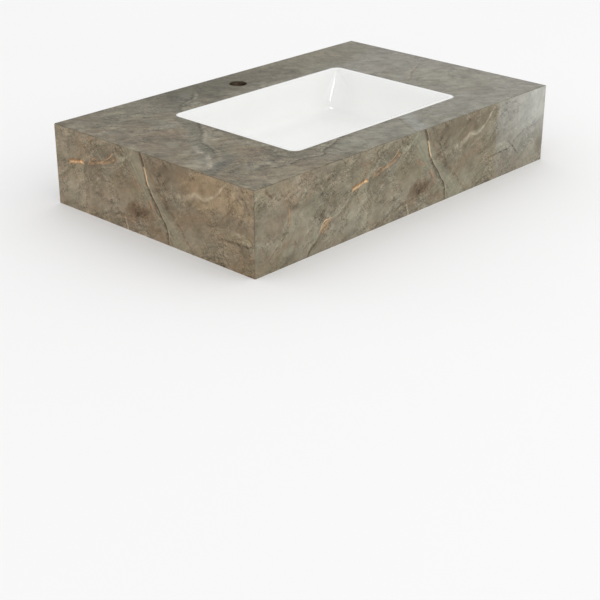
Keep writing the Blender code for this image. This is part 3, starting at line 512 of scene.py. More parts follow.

# Where the ends of the aprons start to change and are full, in millimetres across and down the print. The
# brightening at the front's right end and at the right apron's front end is a painted sheen.

FRONT_GREY_END = (640, 656)
FRONT_SHEEN_END = (660, 770)
RIGHT_GREY_END = (250, 200)
RIGHT_SHEEN_END = (215, 190)
SIDE_STRIPED_END = (600, 680)
GREY_FADES = (50, 120)
SHEEN_GROWS = (125, 20)
STRIPES_GROW = (130, 70)

# Width of the long crack on the front and on the sides, in millimetres

CRACK_WIDTHS = {"front": 2.5, "left": 4.2, "right": 4.2}


def grey_and_sheen_end(made, grey_end, sheen_end):
    """Where the front meets the right apron, both are paler, greyer and streaked from top to bottom: partly
    the stone's grey, partly a painted sheen that brightens toward the corner and the top.
    """
    graph = made.graph
    across, down, _ = graph.split(made.patchy)
    streaks = graph.noise(graph.vector_math("MULTIPLY", made.point, (1.0, 0.05, 1.0)), 5 * MM, 3.0, 0.6)
    streaked = graph.span(streaks, 0.40, 0.60, 0.8, 1.0)
    lower = between(graph, down, GREY_FADES, 0.85, 0.4)
    grey = graph.math("MULTIPLY", between(graph, across, grey_end), lower)
    made.blend(graph.math("MULTIPLY", grey, streaked), END_GREY)
    # Painted sheen: lighter toward the corner between the aprons and toward the top
    light = graph.math("MULTIPLY", between(graph, across, sheen_end), between(graph, down, SHEEN_GROWS))
    made.blend(graph.math("MULTIPLY", light, streaked), END_SHEEN)
    return grey


def striped_end(made):
    """The side aprons' front end is brown and streaked from top to bottom."""
    graph = made.graph
    across, down, _ = graph.split(made.patchy)
    streaks = graph.noise(graph.vector_math("MULTIPLY", made.gentle, (1.0, 0.14, 1.0)), 8 * MM, 3.0, 0.6)
    upper = between(graph, down, STRIPES_GROW, 0.2, 1.0)
    end = graph.math("MULTIPLY", between(graph, across, SIDE_STRIPED_END), upper)
    made.blend(graph.math("MULTIPLY", end, graph.span(streaks, 0.48, 0.66, 0.0, 0.6)), DARK_BROWN)
    made.blend(graph.math("MULTIPLY", end, graph.span(streaks, 0.50, 0.34, 0.0, 0.5)), STRIPE_LIGHT)
    return graph.math("MULTIPLY", end, 0.5)


def apron_ends(made, side):
    """The changed ends of one apron, with the painted sheen at the front's right end and the right apron's
    front end. Returns where the texture is calmer for them.
    """
    if side == "front":
        return grey_and_sheen_end(made, FRONT_GREY_END, FRONT_SHEEN_END)
    end = striped_end(made)
    if side == "right":
        grey_and_sheen_end(made, RIGHT_GREY_END, RIGHT_SHEEN_END)
    return end


def green_band(made):
    """The smooth band that crosses the print, with fine lines along it."""
    made.line(GREEN_BAND, (RUST, 9, 0.12, -27, True), (DARK_BROWN, 5, 0.45, -23, True))
    band = made.line(GREEN_BAND, (GREY_GREEN, 28, 0.9, 1, False))
    made.line(GREEN_BAND, (PALE, 2.5, 0.25, -8, True), (DARK_OLIVE, 2.2, 0.50, 5, True),
              (DARK_BROWN, 2.2, 0.40, 13, True), (DARK_OLIVE, 2.0, 0.40, 19, True))
    return band


def lower_vein(made):
    """The vein that rises from the foot, with a copper knot in it."""
    made.line(LOWER_VEIN, (DARK_OLIVE, 6, 0.55, 3.5, True), (GREY_GREEN, 6.5, 0.6, -1, False),
              (PALE, 2.4, 0.45, -2.5, True), (CRACK, 1.6, 0.5, 2.6, True))
    made.line(FOOT_CRACK, (CRACK, 3.4, 0.8, 0, True))
    made.line(COPPER_KNOT, (RUST, 8.0, 0.5, 0.5, True), (COPPER, 2.6, 0.6, 0, False),
              (PALE, 1.6, 0.6, -2, False))
    made.line(KNOT_ABOVE, (RUST, 3.0, 0.6, 1, True), (CREAM, 1.9, 0.7, 0, False))
    made.line(KNOT_BELOW, (DARK_BROWN, 3.4, 0.6, 1.5, True), (COPPER, 2.2, 0.7, 0, False))


def copper_trail(made):
    """A bright dash, the braided trail after it and the pale trail that ends it. Returns the dash."""
    dash = made.line(COPPER_DASH, (CRACK, 8.0, 0.4, -0.5, False), (COPPER, 5.4, 0.9, 0, False),
                     (CREAM, 2.6, 0.6, 0.8, False), (RUST, 1.8, 0.8, -3.0, False))
    made.line(COPPER_TRAIL, (DARK_BROWN, 12, 0.55, -2, True), (RUST, 7.5, 0.6, 0, True),
              (COPPER, 3.0, 0.8, 0.5, True), (PALE, 1.5, 0.6, 2.2, True), (CRACK, 1.8, 0.6, -3.6, True))
    made.line(TRAIL_ABOVE, (RUST, 3.4, 0.6, -1.0, True), (CREAM, 1.8, 0.7, 0, True))
    made.line(TRAIL_BELOW, (DARK_BROWN, 3.4, 0.5, 1.5, True), (PALE, 1.8, 0.6, 0, True))
    made.line(PALE_TRAIL, (GREY_GREEN, 9, 0.85, 0, False), (PALE, 2.6, 0.45, 0, True))
    return dash


def strong_vein(made):
    """The dark vein inside the band, and the flecks beside it. Returns the vein."""
    vein = made.line(STRONG_VEIN, (VEIN_BROWN, 5.5, 0.9, 3.2, True), (PALE, 2.2, 0.55, -1.4, True),
                     (CRACK, 2.2, 0.9, 1.2, False))
    made.line(VEIN_LIGHT, (CREAM, 2.6, 0.9, -0.8, False))
    made.line(PINK_FLECK, (DARK_BROWN, 5.0, 0.6, 2.5, True), (PINK, 4.0, 0.9, 0, True))
    made.line(RUST_FLECK, (RUST, 4.5, 0.6, 0, True), (PALE, 1.5, 0.4, -2, True))
    return vein


def small_marks(made, side):
    """Squiggle, cracks and spots."""
    made.line(PALE_SWATHE, (DARK_OLIVE, 6, 0.4, 8, True), (PALE, 8.5, 0.45, 0, False))
    made.line(PALE_SQUIGGLE, (DARK_OLIVE, 5, 0.4, 4.5, True), (PALE, 3.6, 0.75, 0, True))
    made.line(STAR_CRACK, (CRACK, CRACK_WIDTHS[side], 0.85, 0, True))
    for places in (STAR_BRANCH, STAR_TWIG, LEFT_CRACK, LEFT_TWIG):
        made.line(places, (CRACK, 2.9, 0.85, 0, True))
    made.line(CORNER_SPOT, (DARK_BROWN, 4, 0.8, 0, False), (RUST, 1.6, 0.6, 1, True))
    made.line(SMALL_COPPER, (RUST, 3.0, 0.5, 1.5, True), (COPPER, 1.8, 0.6, 0, True))
    made.line(PALE_FOOT, (PALE, 2.6, 0.8, 0, False), (CRACK, 1.6, 0.5, 3.5, True))


def apron_print(graph, point, side):
    """The print that the front apron and both side aprons share."""
    made = Print(graph, point, seed=3.0, lean=math.radians(-24), stretch=1.25, mottling=0.14, wisps=0.06,
                 variety=1.15)
    for patch in APRON_PATCHES + (() if side == "front" else SIDE_PATCHES):
        made.oval(*patch)
    end = apron_ends(made, side)
    band = green_band(made)
    made.hair_lines(seed=30, size=50 * MM, width=0.012, share=0.5, paint=CRACK, strength=0.45)
    made.hair_lines(seed=40, size=35 * MM, width=0.016, share=0.4, paint=PALE, strength=0.35)
    lower_vein(made)
    dash = copper_trail(made)
    vein = strong_vein(made)
    small_marks(made, side)
    height = made.finish(graph.math("MULTIPLY", graph.math("MAXIMUM", band, end), 0.6))
    cut_in = graph.math("MULTIPLY", graph.math("MAXIMUM", vein, dash), -0.5)
    return made.colour, graph.math("ADD", height, cut_in)


# Marks of the top print, in millimetres from its back left corner

BACK_CRACK = ((304, 30, 0.0), (296, 42, 0.5), (270, 64, 1.0), (246, 74, 1.0), (226, 84, 0.7),
              (206, 108, 0.6), (196, 130, 0.5), (188, 150, 0.7), (174, 186, 1.0), (160, 205, 1.0),
              (145, 228, 0.9), (122, 250, 0.8), (104, 272, 0.8), (94, 300, 0.8), (80, 328, 0.7),
              (64, 352, 0.5), (40, 378, 0.3), (10, 400, 0.2))
DARK_PATCH = ((2, 398, 0.0), (22, 388, 0.8), (55, 374, 1.0), (78, 364, 0.8), (94, 352, 0.0))
PALE_SPUR = ((58, 376, 0.0), (68, 387, 0.9), (82, 401, 0.8), (96, 414, 0.0))
PALE_EDGE = ((90, 268, 0.0), (74, 290, 0.6), (68, 305, 1.0), (66, 322, 0.4), (58, 338, 1.0), (46, 350, 0.3),
             (34, 364, 0.9), (20, 374, 0.0))
FRONT_CRACK = ((84, 440, 0.0), (104, 448, 0.7), (130, 455, 0.9), (160, 452, 0.6), (178, 456, 0.8),
               (205, 463, 1.0), (214, 450, 0.9), (236, 442, 0.9), (262, 434, 1.0), (284, 424, 0.8),
               (310, 420, 0.0))
GREY_STREAK = ((466, 420, 0.7), (452, 440, 1.0), (440, 462, 0.9), (430, 480, 1.0), (418, 504, 0.9))
RIGHT_VEIN = ((760, 214, 0.0), (735, 228, 0.7), (705, 244, 0.9), (690, 252, 1.0), (672, 264, 0.8),
              (648, 278, 0.6), (628, 284, 0.0))
RIGHT_SQUIGGLE = ((690, 300, 0.0), (692, 320, 0.5), (696, 345, 0.7), (700, 372, 0.6), (704, 392, 0.6),
                  (722, 415, 0.5), (732, 430, 0.0))
PINK_STREAK = ((678, 20, 0.0), (682, 45, 0.7), (688, 70, 0.6), (684, 90, 0.0))
OLD_CRACK = ((120, 140, 0.0), (112, 160, 0.8), (118, 172, 0.9), (132, 160, 0.7), (142, 140, 0.0))
PALE_LOOP = ((70, 140, 0.0), (86, 160, 0.7), (100, 178, 0.9), (112, 196, 0.0))

# Patches of the top print, given as those of the apron print; the wide grey ones near the front and at the
# right are partly painted sheen

TOP_PATCHES = (
    (400, 15, 480, 120, 0, DARK_OLIVE, 0.7), (600, 30, 260, 110, 0, OLIVE, 0.7),
    (325, 40, 170, 75, 0, BACK_OLIVE, 0.95), (480, 50, 110, 70, 0, DARK_OLIVE, 0.7),
    (120, 60, 110, 50, -30, GREY_GREEN, 0.5), (90, 470, 120, 50, 0, WARM_GREY, 0.5),
    (150, 200, 60, 40, -50, BROWN, 0.4), (240, 68, 32, 10, -12, DARK_BROWN, 0.9),
    (45, 340, 40, 30, -40, GREY, 0.55), (90, 385, 40, 25, 0, BROWN, 0.55),
    (520, 470, 220, 60, 0, GREY, 0.6), (690, 330, 90, 120, 0, GREY, 0.4),
    (280, 462, 150, 50, 0, GREY, 0.55), (695, 75, 45, 35, -40, MAUVE, 0.5),
    (655, 225, 50, 22, -25, MAUVE, 0.5), (450, 440, 50, 18, -30, MAUVE, 0.45),
    (700, 430, 60, 30, -20, MAUVE, 0.4), (35, 215, 40, 30, -30, BROWN, 0.6),
    (130, 350, 45, 30, -60, BROWN, 0.5), (150, 30, 70, 24, -20, OLIVE, 0.6),
    (95, 110, 60, 30, -50, BROWN, 0.4),
)

# Where the top's calm and its tints start and are full, in millimetres from its left or back edge; the grey
# and calm toward the right and along the front are partly painted sheen

CALM_AND_SHEEN_TO_RIGHT = (250, 700)
GREY_AND_SHEEN_TO_RIGHT = (250, 650)
BROWN_TO_LEFT = (250, 0)
STRIP_FROM_BACK = (400, 440)
STRIP_FROM_LEFT = (200, 360)


def top_marks(made):
    """Cracks, streaks and veins of the top. Returns the long crack."""
    crack = made.line(BACK_CRACK, (CRACK_SHADE, 24, 0.7, 10, False), (DARK_OLIVE, 14, 0.6, 7, True),
                      (PALE, 4.5, 0.5, -7, True), (CRACK, 3.8, 0.7, 0, True))
    made.line(DARK_PATCH, (PATCH_GREY, 19, 0.7, 0, False), (CRACK, 10, 0.4, 3, True))
    made.line(PALE_SPUR, (PALE, 3.2, 0.6, 0, True))
    made.line(PALE_EDGE, (EDGE_HALO, 9, 0.3, 0, False), (EDGE_LIGHT, 8, 0.6, 0, True))
    made.line(FRONT_CRACK, (DARK_OLIVE, 11, 0.75, 2, True), (CRACK, 4.4, 0.95, 0, True),
              (PALE, 3.4, 0.65, -5, True))
    made.line(GREY_STREAK, (STREAK_GREY, 22, 0.85, -3, False), (DARK_OLIVE, 3, 0.5, 16, True))
    made.line(RIGHT_VEIN, (DARK_BROWN, 4, 0.5, -4, True), (VEIN_PINK, 3.6, 0.85, 0, True))
    made.line(RIGHT_SQUIGGLE, (SQUIGGLE_GREY, 3.4, 0.7, 0, True))
    made.line(PINK_STREAK, (DULL_PINK, 3.4, 0.45, 0, True))
    made.line(OLD_CRACK, (CRACK, 2.4, 0.7, 0, True))
    made.line(PALE_LOOP, (PALE, 2.6, 0.55, 0, True))
    return crack


def top_print(graph, point):
    """The print of the top, which turns from warm olive at its left to calm grey at its right and front; the
    grey and calm there are partly the stone's, partly a painted sheen.
    """
    made = Print(graph, point, seed=50.0, lean=math.radians(38), stretch=1.35, mottling=0.31, wisps=0.11,
                 variety=1.7)
    across, from_back, _ = graph.split(point)
    rightward = between(graph, across, CALM_AND_SHEEN_TO_RIGHT)
    front_strip = graph.math("MULTIPLY", between(graph, from_back, STRIP_FROM_BACK),
                             between(graph, across, STRIP_FROM_LEFT))
    # Partly the stone's grey, partly painted sheen: lighter, cooler grey toward the right
    made.blend(between(graph, across, GREY_AND_SHEEN_TO_RIGHT, 0.0, 0.75), GREY_AND_SHEEN)
    made.blend(between(graph, across, BROWN_TO_LEFT, 0.0, 0.35), BROWN)
    for patch in TOP_PATCHES:
        made.oval(*patch)
    # Partly painted sheen: lighter grey along the front
    made.blend(graph.math("MULTIPLY", front_strip, 0.45), GREY_AND_SHEEN)
    made.hair_lines(seed=70, size=60 * MM, width=0.013, share=0.6, paint=CRACK, strength=0.4)
    made.hair_lines(seed=80, size=45 * MM, width=0.016, share=0.45, paint=PALE, strength=0.3)
    crack = top_marks(made)
    height = made.finish(graph.math("MULTIPLY", graph.math("MAXIMUM", rightward, front_strip), 0.65))
    return made.colour, graph.math("ADD", height, graph.math("MULTIPLY", crack, -0.6))


# Materials

# The side aprons show the print from this far in
PRINT_SHIFT = 195 * MM

# Share of the picked tones that each face keeps, because each had its own light when they were picked:
# painted shade, with the top darker and the left apron darker and browner than the front and right aprons
FACE_SHADE_SHARES = {
    "top": (0.73, 0.73, 0.69, 1.0),
    "front": (1.04, 1.03, 1.00, 1.0),
    "left": (1.02, 0.93, 0.85, 1.0),
    "right": (1.04, 1.03, 1.00, 1.0),
}
STONE_ROUGHNESS = (0.46, 0.38)
STONE_SPECULAR = 0.12
STONE_RELIEF = 0.05 * MM
POLISH_ENDS = (0.8, 2.0)
OFFCUT_ROUGHNESS = 0.62
SAWN_RELIEF = 0.1 * MM

GLAZE_PLAIN = (0.895, 0.898, 0.882, 1.0)
GLAZE_BRIGHT = (0.978, 0.980, 0.964, 1.0)
GLAZE_RIM = (0.835, 0.838, 0.828, 1.0)
GLAZE_IOR = 1.52
GLAZE_RIPPLE = 30 * MM
GLAZE_RELIEF = 0.02 * MM
PLY = 2.8 * MM


def new_material(name):
    made = bpy.data.materials.new(name)
    made.use_nodes = True
    graph = Graph(made.node_tree)
    shader = made.node_tree.nodes["Principled BSDF"]
    return made, graph, shader


def object_point(graph):
    return graph.add("TexCoord").outputs["Object"]


def face_point(graph, side):
    """Place on the print, from its upper left corner, for the top or one of the aprons."""
    x, y, z = graph.split(object_point(graph))
    down = graph.math("SUBTRACT", HEIGHT, z)
    if side == "top":
        return graph.join(graph.math("ADD", x, HALF_WIDTH), graph.math("SUBTRACT", HALF_DEPTH, y), down)
    if side == "front":
        return graph.join(graph.math("ADD", x, HALF_WIDTH), down)
    if side == "left":
        return graph.join(graph.math("SUBTRACT", HALF_DEPTH + PRINT_SHIFT, y), down)
    return graph.join(graph.math("ADD", y, HALF_DEPTH + PRINT_SHIFT), down)


def cut_edges(graph, point, colour):
    """The walls of the top's cut-out and tap hole are bare stone below the polished face, painted dark:
    partly the bare stone's own colour, partly painted shade inside the holes.
    """
    rock = graph.noise(point, 0.010, 5.0, 0.65)
    # Partly painted shade: very dark tones for the walls inside the holes
    bare = graph.ramp(rock, ((0.35, tone(46, 40, 31)), (0.5, tone(84, 73, 61)), (0.65, tone(112, 96, 84))))
    return graph.mix(between(graph, graph.split(point)[2], POLISH_ENDS), colour, bare)


def stone(side):
    """Satin stone with the print of one side and the painted shade of that face."""
    made, graph, shader = new_material("stone_" + side)
    point = face_point(graph, side)
    colour, height = top_print(graph, point) if side == "top" else apron_print(graph, point, side)
    if side == "top":
        colour = cut_edges(graph, point, colour)
    # Painted shade: each face's colour is scaled by its share, so the top and the left apron come out darker
    colour = graph.mix(1.0, colour, FACE_SHADE_SHARES[side], "MULTIPLY")
    graph.feed(shader.inputs["Base Color"], colour)
    graph.feed(shader.inputs["Roughness"], graph.span(height, 0.4, 1.1, *STONE_ROUGHNESS))
    shader.inputs["Specular IOR Level"].default_value = STONE_SPECULAR
    graph.feed(shader.inputs["Normal"], graph.bump(height, STONE_RELIEF))
    return made


def raw_stone():
    """Unpolished stone of the hidden offcuts."""
    made, graph, shader = new_material("stone_offcut")
    point = object_point(graph)
    cloud = graph.noise(point, 0.05, 5.0, 0.6)
    grain = graph.noise(point, 0.002, 3.0, 0.6)
    colour = graph.ramp(cloud, ((0.3, tone(112, 106, 94)), (0.55, tone(136, 130, 116)),
                                (0.75, tone(150, 146, 136))))
    graph.feed(shader.inputs["Base Color"], graph.mix(graph.span(grain, 0.3, 0.7, 0.0, 0.2), colour, CRACK))
    shader.inputs["Roughness"].default_value = OFFCUT_ROUGHNESS
    graph.feed(shader.inputs["Normal"], graph.bump(grain, SAWN_RELIEF))
    return made


def glazed_ceramic():
    """White glaze, painted lighter on the bowl's deep walls to fill the shade that falls there, so its flat
    floor shows greyer; the rim is greyer too, partly thinner glaze at the edge and partly painted shade over
    its lit edge.
    """
    made, graph, shader = new_material("glazed_ceramic")
    point = object_point(graph)
    height = graph.split(point)[2]
    upright = graph.span(graph.split(graph.add("TexCoord").outputs["Normal"])[2], 0.98, 0.30)
    deep = graph.span(height, HEIGHT - 20 * MM, FLOOR_LOW + 20 * MM)
    # Painted light: the deep, upright walls are lightened where shade falls in the bowl; the noise adds
    # random tone
    painted_light_and_mottle = graph.math("ADD", graph.math("MULTIPLY", upright, graph.math("MULTIPLY", deep, 0.75)),
                       graph.span(graph.noise(point, 0.12, 3.0, 0.5), 0.3, 0.7, 0.0, 0.20))
    colour = graph.mix(painted_light_and_mottle, GLAZE_PLAIN, GLAZE_BRIGHT)
    ripple = graph.noise(point, GLAZE_RIPPLE, 2.0, 0.5)
    # Darker rim: partly thinner glaze at the edge, partly painted shade that dulls the rim's lit edge
    rim = graph.span(height, HEIGHT - 4 * MM, HEIGHT - 0.5 * MM)
    colour = graph.mix(rim, colour, GLAZE_RIM)
    graph.feed(shader.inputs["Base Color"], colour)
    graph.feed(shader.inputs["Roughness"], graph.span(ripple, 0.3, 0.7, 0.05, 0.08))
    graph.feed(shader.inputs["Normal"], graph.bump(ripple, GLAZE_RELIEF))
    shader.inputs["IOR"].default_value = GLAZE_IOR
    return made


def plywood():
    """Face veneer along X or Y and stacked plies on the edges."""
    made, graph, shader = new_material("sealed_plywood")
    point = object_point(graph)
    stretched = graph.vector_math("MULTIPLY", point, (1.0, 0.12, 1.0))
    rings = graph.noise(drifted(graph, stretched, 0.05, 0.02, 7.0), 0.004, 4.0, 0.6)
    face = graph.ramp(rings, ((0.3, tone(150, 112, 72)), (0.55, tone(186, 150, 106)),
                              (0.75, tone(204, 172, 130))))
    z = graph.split(point)[2]
    ply = graph.math("FRACT", graph.math("DIVIDE", z, PLY))
    plies = graph.span(graph.math("ABSOLUTE", graph.math("SUBTRACT", ply, 0.5)), 0.20, 0.30)
    edge = graph.mix(plies, tone(168, 128, 84), tone(112, 76, 46))
    up = graph.math("ABSOLUTE", graph.split(graph.add("TexCoord").outputs["Normal"])[2])
    colour = graph.mix(graph.span(up, 0.4, 0.6), edge, face)
    graph.feed(shader.inputs["Base Color"], colour)
    graph.feed(shader.inputs["Roughness"], graph.span(rings, 0.3, 0.7, 0.5, 0.62))
    graph.feed(shader.inputs["Normal"], graph.bump(rings, SAWN_RELIEF))
    return made


def speckled(name, base, worn, roughness, metallic=0.0, size=0.004, depth=0.02):
    """A finish with slight changes of tone and gloss and a fine surface texture."""
    made, graph, shader = new_material(name)
    point = object_point(graph)
    cloud = graph.noise(point, 12 * size, 4.0, 0.6)
    fine = graph.noise(point, size, 3.0, 0.6)
    graph.feed(shader.inputs["Base Color"], graph.mix(graph.span(cloud, 0.35, 0.7), base, worn))
    graph.feed(shader.inputs["Roughness"],
               graph.span(cloud, 0.3, 0.7, roughness * 0.85, min(1.0, roughness * 1.15)))
    graph.feed(shader.inputs["Normal"], graph.bump(fine, depth * MM))
    shader.inputs["Metallic"].default_value = metallic
    return made


def fitting_materials():
    """One finish for each of the record's slots, apart from stone."""
    return {
        "glazed_ceramic": glazed_ceramic(),
        "sealed_plywood": plywood(),
        "white_sealant": speckled("white_sealant", tone(222, 221, 216), tone(214, 212, 206), 0.35),
        "black_rubber": speckled("black_rubber", tone(34, 34, 34), tone(46, 45, 44), 0.7, size=0.001),
        "chrome": speckled("chrome", tone(226, 228, 230), tone(216, 218, 222), 0.07, 1.0, 0.02, 0.002),
        "zinc_steel": speckled("zinc_steel", tone(196, 199, 202), tone(178, 180, 180), 0.34, 1.0,
                               0.001, 0.01),
        "painted_steel": speckled("painted_steel", tone(44, 45, 47), tone(52, 53, 55), 0.45, 0.0,
                                  0.0008, 0.05),
        "brass": speckled("brass", tone(206, 172, 104), tone(186, 150, 86), 0.28, 1.0, 0.001, 0.01),
        "moulded_plastic": speckled("moulded_plastic", tone(38, 38, 40), tone(46, 46, 48), 0.5, 0.0,
                                    0.0006, 0.03),
    }


def dress_frame(finishes):
    """Gives each CAD node the finish of its slot; the stone panels have one each."""
    stones = {side: stone(side) for side in ("top", "front", "left", "right")}
    panels = {"top_panel": stones["top"], "front_apron": stones["front"],
              "left_apron": stones["left"], "right_apron": stones["right"]}
    offcut = raw_stone()
    for row in frame["record"]["subparts"]:
        thing = frame["nodes"][row["node"]]
        finish = panels.get(row["node"]) or finishes.get(row["material_slot"], offcut)
        thing.data.materials.clear()
        thing.data.materials.append(finish)


# Basin

BODY_SEGMENTS = 4
BORE_SEGMENTS = 3
EDGE_ANGLE = math.radians(60)
SHARP_ANGLE = math.radians(32)


def rounded_rectangle(half_x, half_y, radius):
    points = []
    for quarter in range(4):
        side_x = 1 if quarter in (0, 3) else -1
        side_y = 1 if quarter in (0, 1) else -1
        middle = Vector((side_x * (half_x - radius), side_y * (half_y - radius)))
        for step in range(CORNER_STEPS + 1):
            angle = (quarter + step / CORNER_STEPS) * math.pi / 2
            points.append(middle + radius * Vector((math.cos(angle), math.sin(angle))))
    return points


def circle(radius):
    count = 4 * (CORNER_STEPS + 1)
    turns = [(step + 0.5) * math.tau / count for step in range(count)]
    return [Vector((radius * math.cos(turn), radius * math.sin(turn))) for turn in turns]


def basin_ring(inset, radius, height):
    outline = rounded_rectangle(CUTOUT_HALF_X - inset, CUTOUT_HALF_Y - inset, radius)
    return [Vector((point.x, DRAIN_Y + point.y, height)) for point in outline]


def drain_ring(radius, height):
    return [Vector((point.x, DRAIN_Y + point.y, height)) for point in circle(radius)]


def wall_line():
    """Top and foot of the wall and the middle of the floor fillet, as (inset, height)."""
    top = Vector((RIM_JOINT + LIP_LAND + RIM_ROUND, HEIGHT - RIM_ROUND))
    middle_height = FLOOR_LOW + FLOOR_FALL + FLOOR_FILLET * math.cos(FLOOR_SLOPE)
    foot_height = middle_height - FLOOR_FILLET * math.sin(WALL_DRAFT)
    foot = Vector((top.x + (top.y - foot_height) * math.tan(WALL_DRAFT), foot_height))
    return top, foot, Vector((foot.x + FLOOR_FILLET * math.cos(WALL_DRAFT), middle_height))


def on_wall(share, offset):
    top, foot, _ = wall_line()
    return top.lerp(foot, share) - offset * Vector((math.cos(WALL_DRAFT), math.sin(WALL_DRAFT)))


def on_fillet(share, offset):
    turn = WALL_DRAFT + (math.pi / 2 - FLOOR_SLOPE - WALL_DRAFT) * share
    return wall_line()[2] - (FLOOR_FILLET + offset) * Vector((math.cos(turn), math.sin(turn)))


def bowl_rings(offset):
    """Rings down the wall and round the fillet; the corner radius grows fastest near the rim."""
    wall = [on_wall(step / WALL_STEPS, offset) for step in range(WALL_STEPS)]
    section = wall + [on_fillet(step / FILLET_STEPS, offset) for step in range(FILLET_STEPS + 1)]
    rim_radius = CUTOUT_RADIUS - section[0].x
    rings = []
    for step, (inset, height) in enumerate(section):
        grown_share = math.sin(min(1.0, step / WALL_STEPS) * math.pi / 2)
        grown = rim_radius + (BOWL_CORNER_RADIUS + offset - rim_radius) * grown_share
        rings.append(basin_ring(inset, grown, height))
    return rings


def floor_rings(edge_ring, radius, height):
    """Rings from the floor's rounded rectangle to the circle round the drain."""
    target = drain_ring(radius, height)
    shares = [(step + 1) / FLOOR_STEPS for step in range(FLOOR_STEPS)]
    return [[start.lerp(end, share) for start, end in zip(edge_ring, target)] for share in shares]


def rim_rings():
    rings = []
    last_turn = math.pi / 2 - WALL_DRAFT
    for step in range(EDGE_STEPS):
        turn = last_turn * step / EDGE_STEPS
        inset = RIM_JOINT + LIP_LAND + RIM_ROUND * math.sin(turn)
        rings.append(basin_ring(inset, CUTOUT_RADIUS - inset, HEIGHT - RIM_ROUND * (1 - math.cos(turn))))
    return rings


def outer_rings():
    """From under the flange, round its edge and up the outside of the lip."""
    edge = CUTOUT_RADIUS + FLANGE_WIDTH
    low = FLANGE_TOP - FLANGE_THICKNESS
    wall = on_wall(0, CERAMIC).x
    lip = CUTOUT_RADIUS - RIM_JOINT
    return [
        basin_ring(wall, CUTOUT_RADIUS - wall, low),
        basin_ring(FLANGE_ARRIS - FLANGE_WIDTH, edge - FLANGE_ARRIS, low),
        basin_ring(-FLANGE_WIDTH, edge, low + FLANGE_ARRIS),
        basin_ring(-FLANGE_WIDTH, edge, FLANGE_TOP),
        basin_ring(RIM_JOINT, lip, FLANGE_TOP),
        basin_ring(RIM_JOINT, lip, HEIGHT - LIP_ARRIS),
        basin_ring(RIM_JOINT + LIP_ARRIS / 3, lip - LIP_ARRIS / 3, HEIGHT - LIP_ARRIS / 3),
        basin_ring(RIM_JOINT + LIP_ARRIS, lip - LIP_ARRIS, HEIGHT),
    ]


def skin(name, rings):
    """Closed surface through a loop of rings."""
    bm = bmesh.new()
    rows = [[bm.verts.new(point) for point in ring] for ring in rings]
    count = len(rows[0])
    for row, following in zip(rows, rows[1:] + rows[:1]):
        for k in range(count):
            ahead = (k + 1) % count
            bm.faces.new((row[k], row[ahead], following[ahead], following[k]))
    return from_bmesh(name, bm)


def from_bmesh(name, bm):
    bmesh.ops.recalc_face_normals(bm, faces=bm.faces)
    mesh = bpy.data.meshes.new(name)
    bm.to_mesh(mesh)
    bm.free()
    made = bpy.data.objects.new(name, mesh)
    bpy.context.scene.collection.objects.link(made)
    return made


def duct(name, cover, thickness, half_width, top, reach):
    """Channel along the front wall and floor, from the overflow hole to the drain."""
    wall_top, wall_foot, _ = wall_line()
    start = (wall_top.y - top) / (wall_top.y - wall_foot.y)

    def side(offset):
        bend = [on_fillet((step + 0.5) / DUCT_STEPS, offset) for step in range(DUCT_STEPS)]
        return [on_wall(start, offset), *bend, Vector((CUTOUT_HALF_Y - reach, FLOOR_LOW - offset))]

    outline = side(cover) + side(cover + thickness)[::-1]
    front = DRAIN_Y - CUTOUT_HALF_Y
    bm = bmesh.new()
    base = bm.faces.new([bm.verts.new((-half_width, front + u, v)) for u, v in outline])
    grown = bmesh.ops.extrude_face_region(bm, geom=[base])
    moved = [item for item in grown["geom"] if isinstance(item, bmesh.types.BMVert)]
    bmesh.ops.translate(bm, verts=moved, vec=(2 * half_width, 0, 0))
    return from_bmesh(name, bm)


def soften(target, width, segments):
    bevel = target.modifiers.new("rounding", "BEVEL")
    bevel.width = width
    bevel.segments = segments
    bevel.limit_method = "ANGLE"
    bevel.angle_limit = EDGE_ANGLE


def apply_modifiers(target):
    graph = bpy.context.evaluated_depsgraph_get()
    finished = bpy.data.meshes.new_from_object(target.evaluated_get(graph), depsgraph=graph)
    target.modifiers.clear()
    target.data = finished


def combine(target, helper, operation):
    step = target.modifiers.new(helper.name, "BOOLEAN")
    step.operation = operation
    step.object = helper
    step.solver = "EXACT"
    apply_modifiers(target)
    bpy.data.objects.remove(helper)


def overflow_cutter():
    top, foot, _ = wall_line()
    height = HEIGHT - OVERFLOW_DROP
    inset = top.lerp(foot, (top.y - height) / (top.y - foot.y)).x
    bm = bmesh.new()
    bmesh.ops.create_cone(bm, cap_ends=True, segments=ROUND_STEPS, radius1=OVERFLOW_RADIUS,
                          radius2=OVERFLOW_RADIUS, depth=DUCT_COVER + DUCT_THICKNESS / 2 + OVERRUN)
    low_end = DUCT_COVER + DUCT_THICKNESS / 2
    bmesh.ops.translate(bm, verts=bm.verts, vec=(0, 0, (OVERRUN - low_end) / 2))
    made = from_bmesh("overflow_cutter", bm)
    made.rotation_euler.x = WALL_DRAFT - math.pi / 2
    made.location = (0, DRAIN_Y - CUTOUT_HALF_Y + inset, height)
    bpy.context.view_layer.update()
    return made


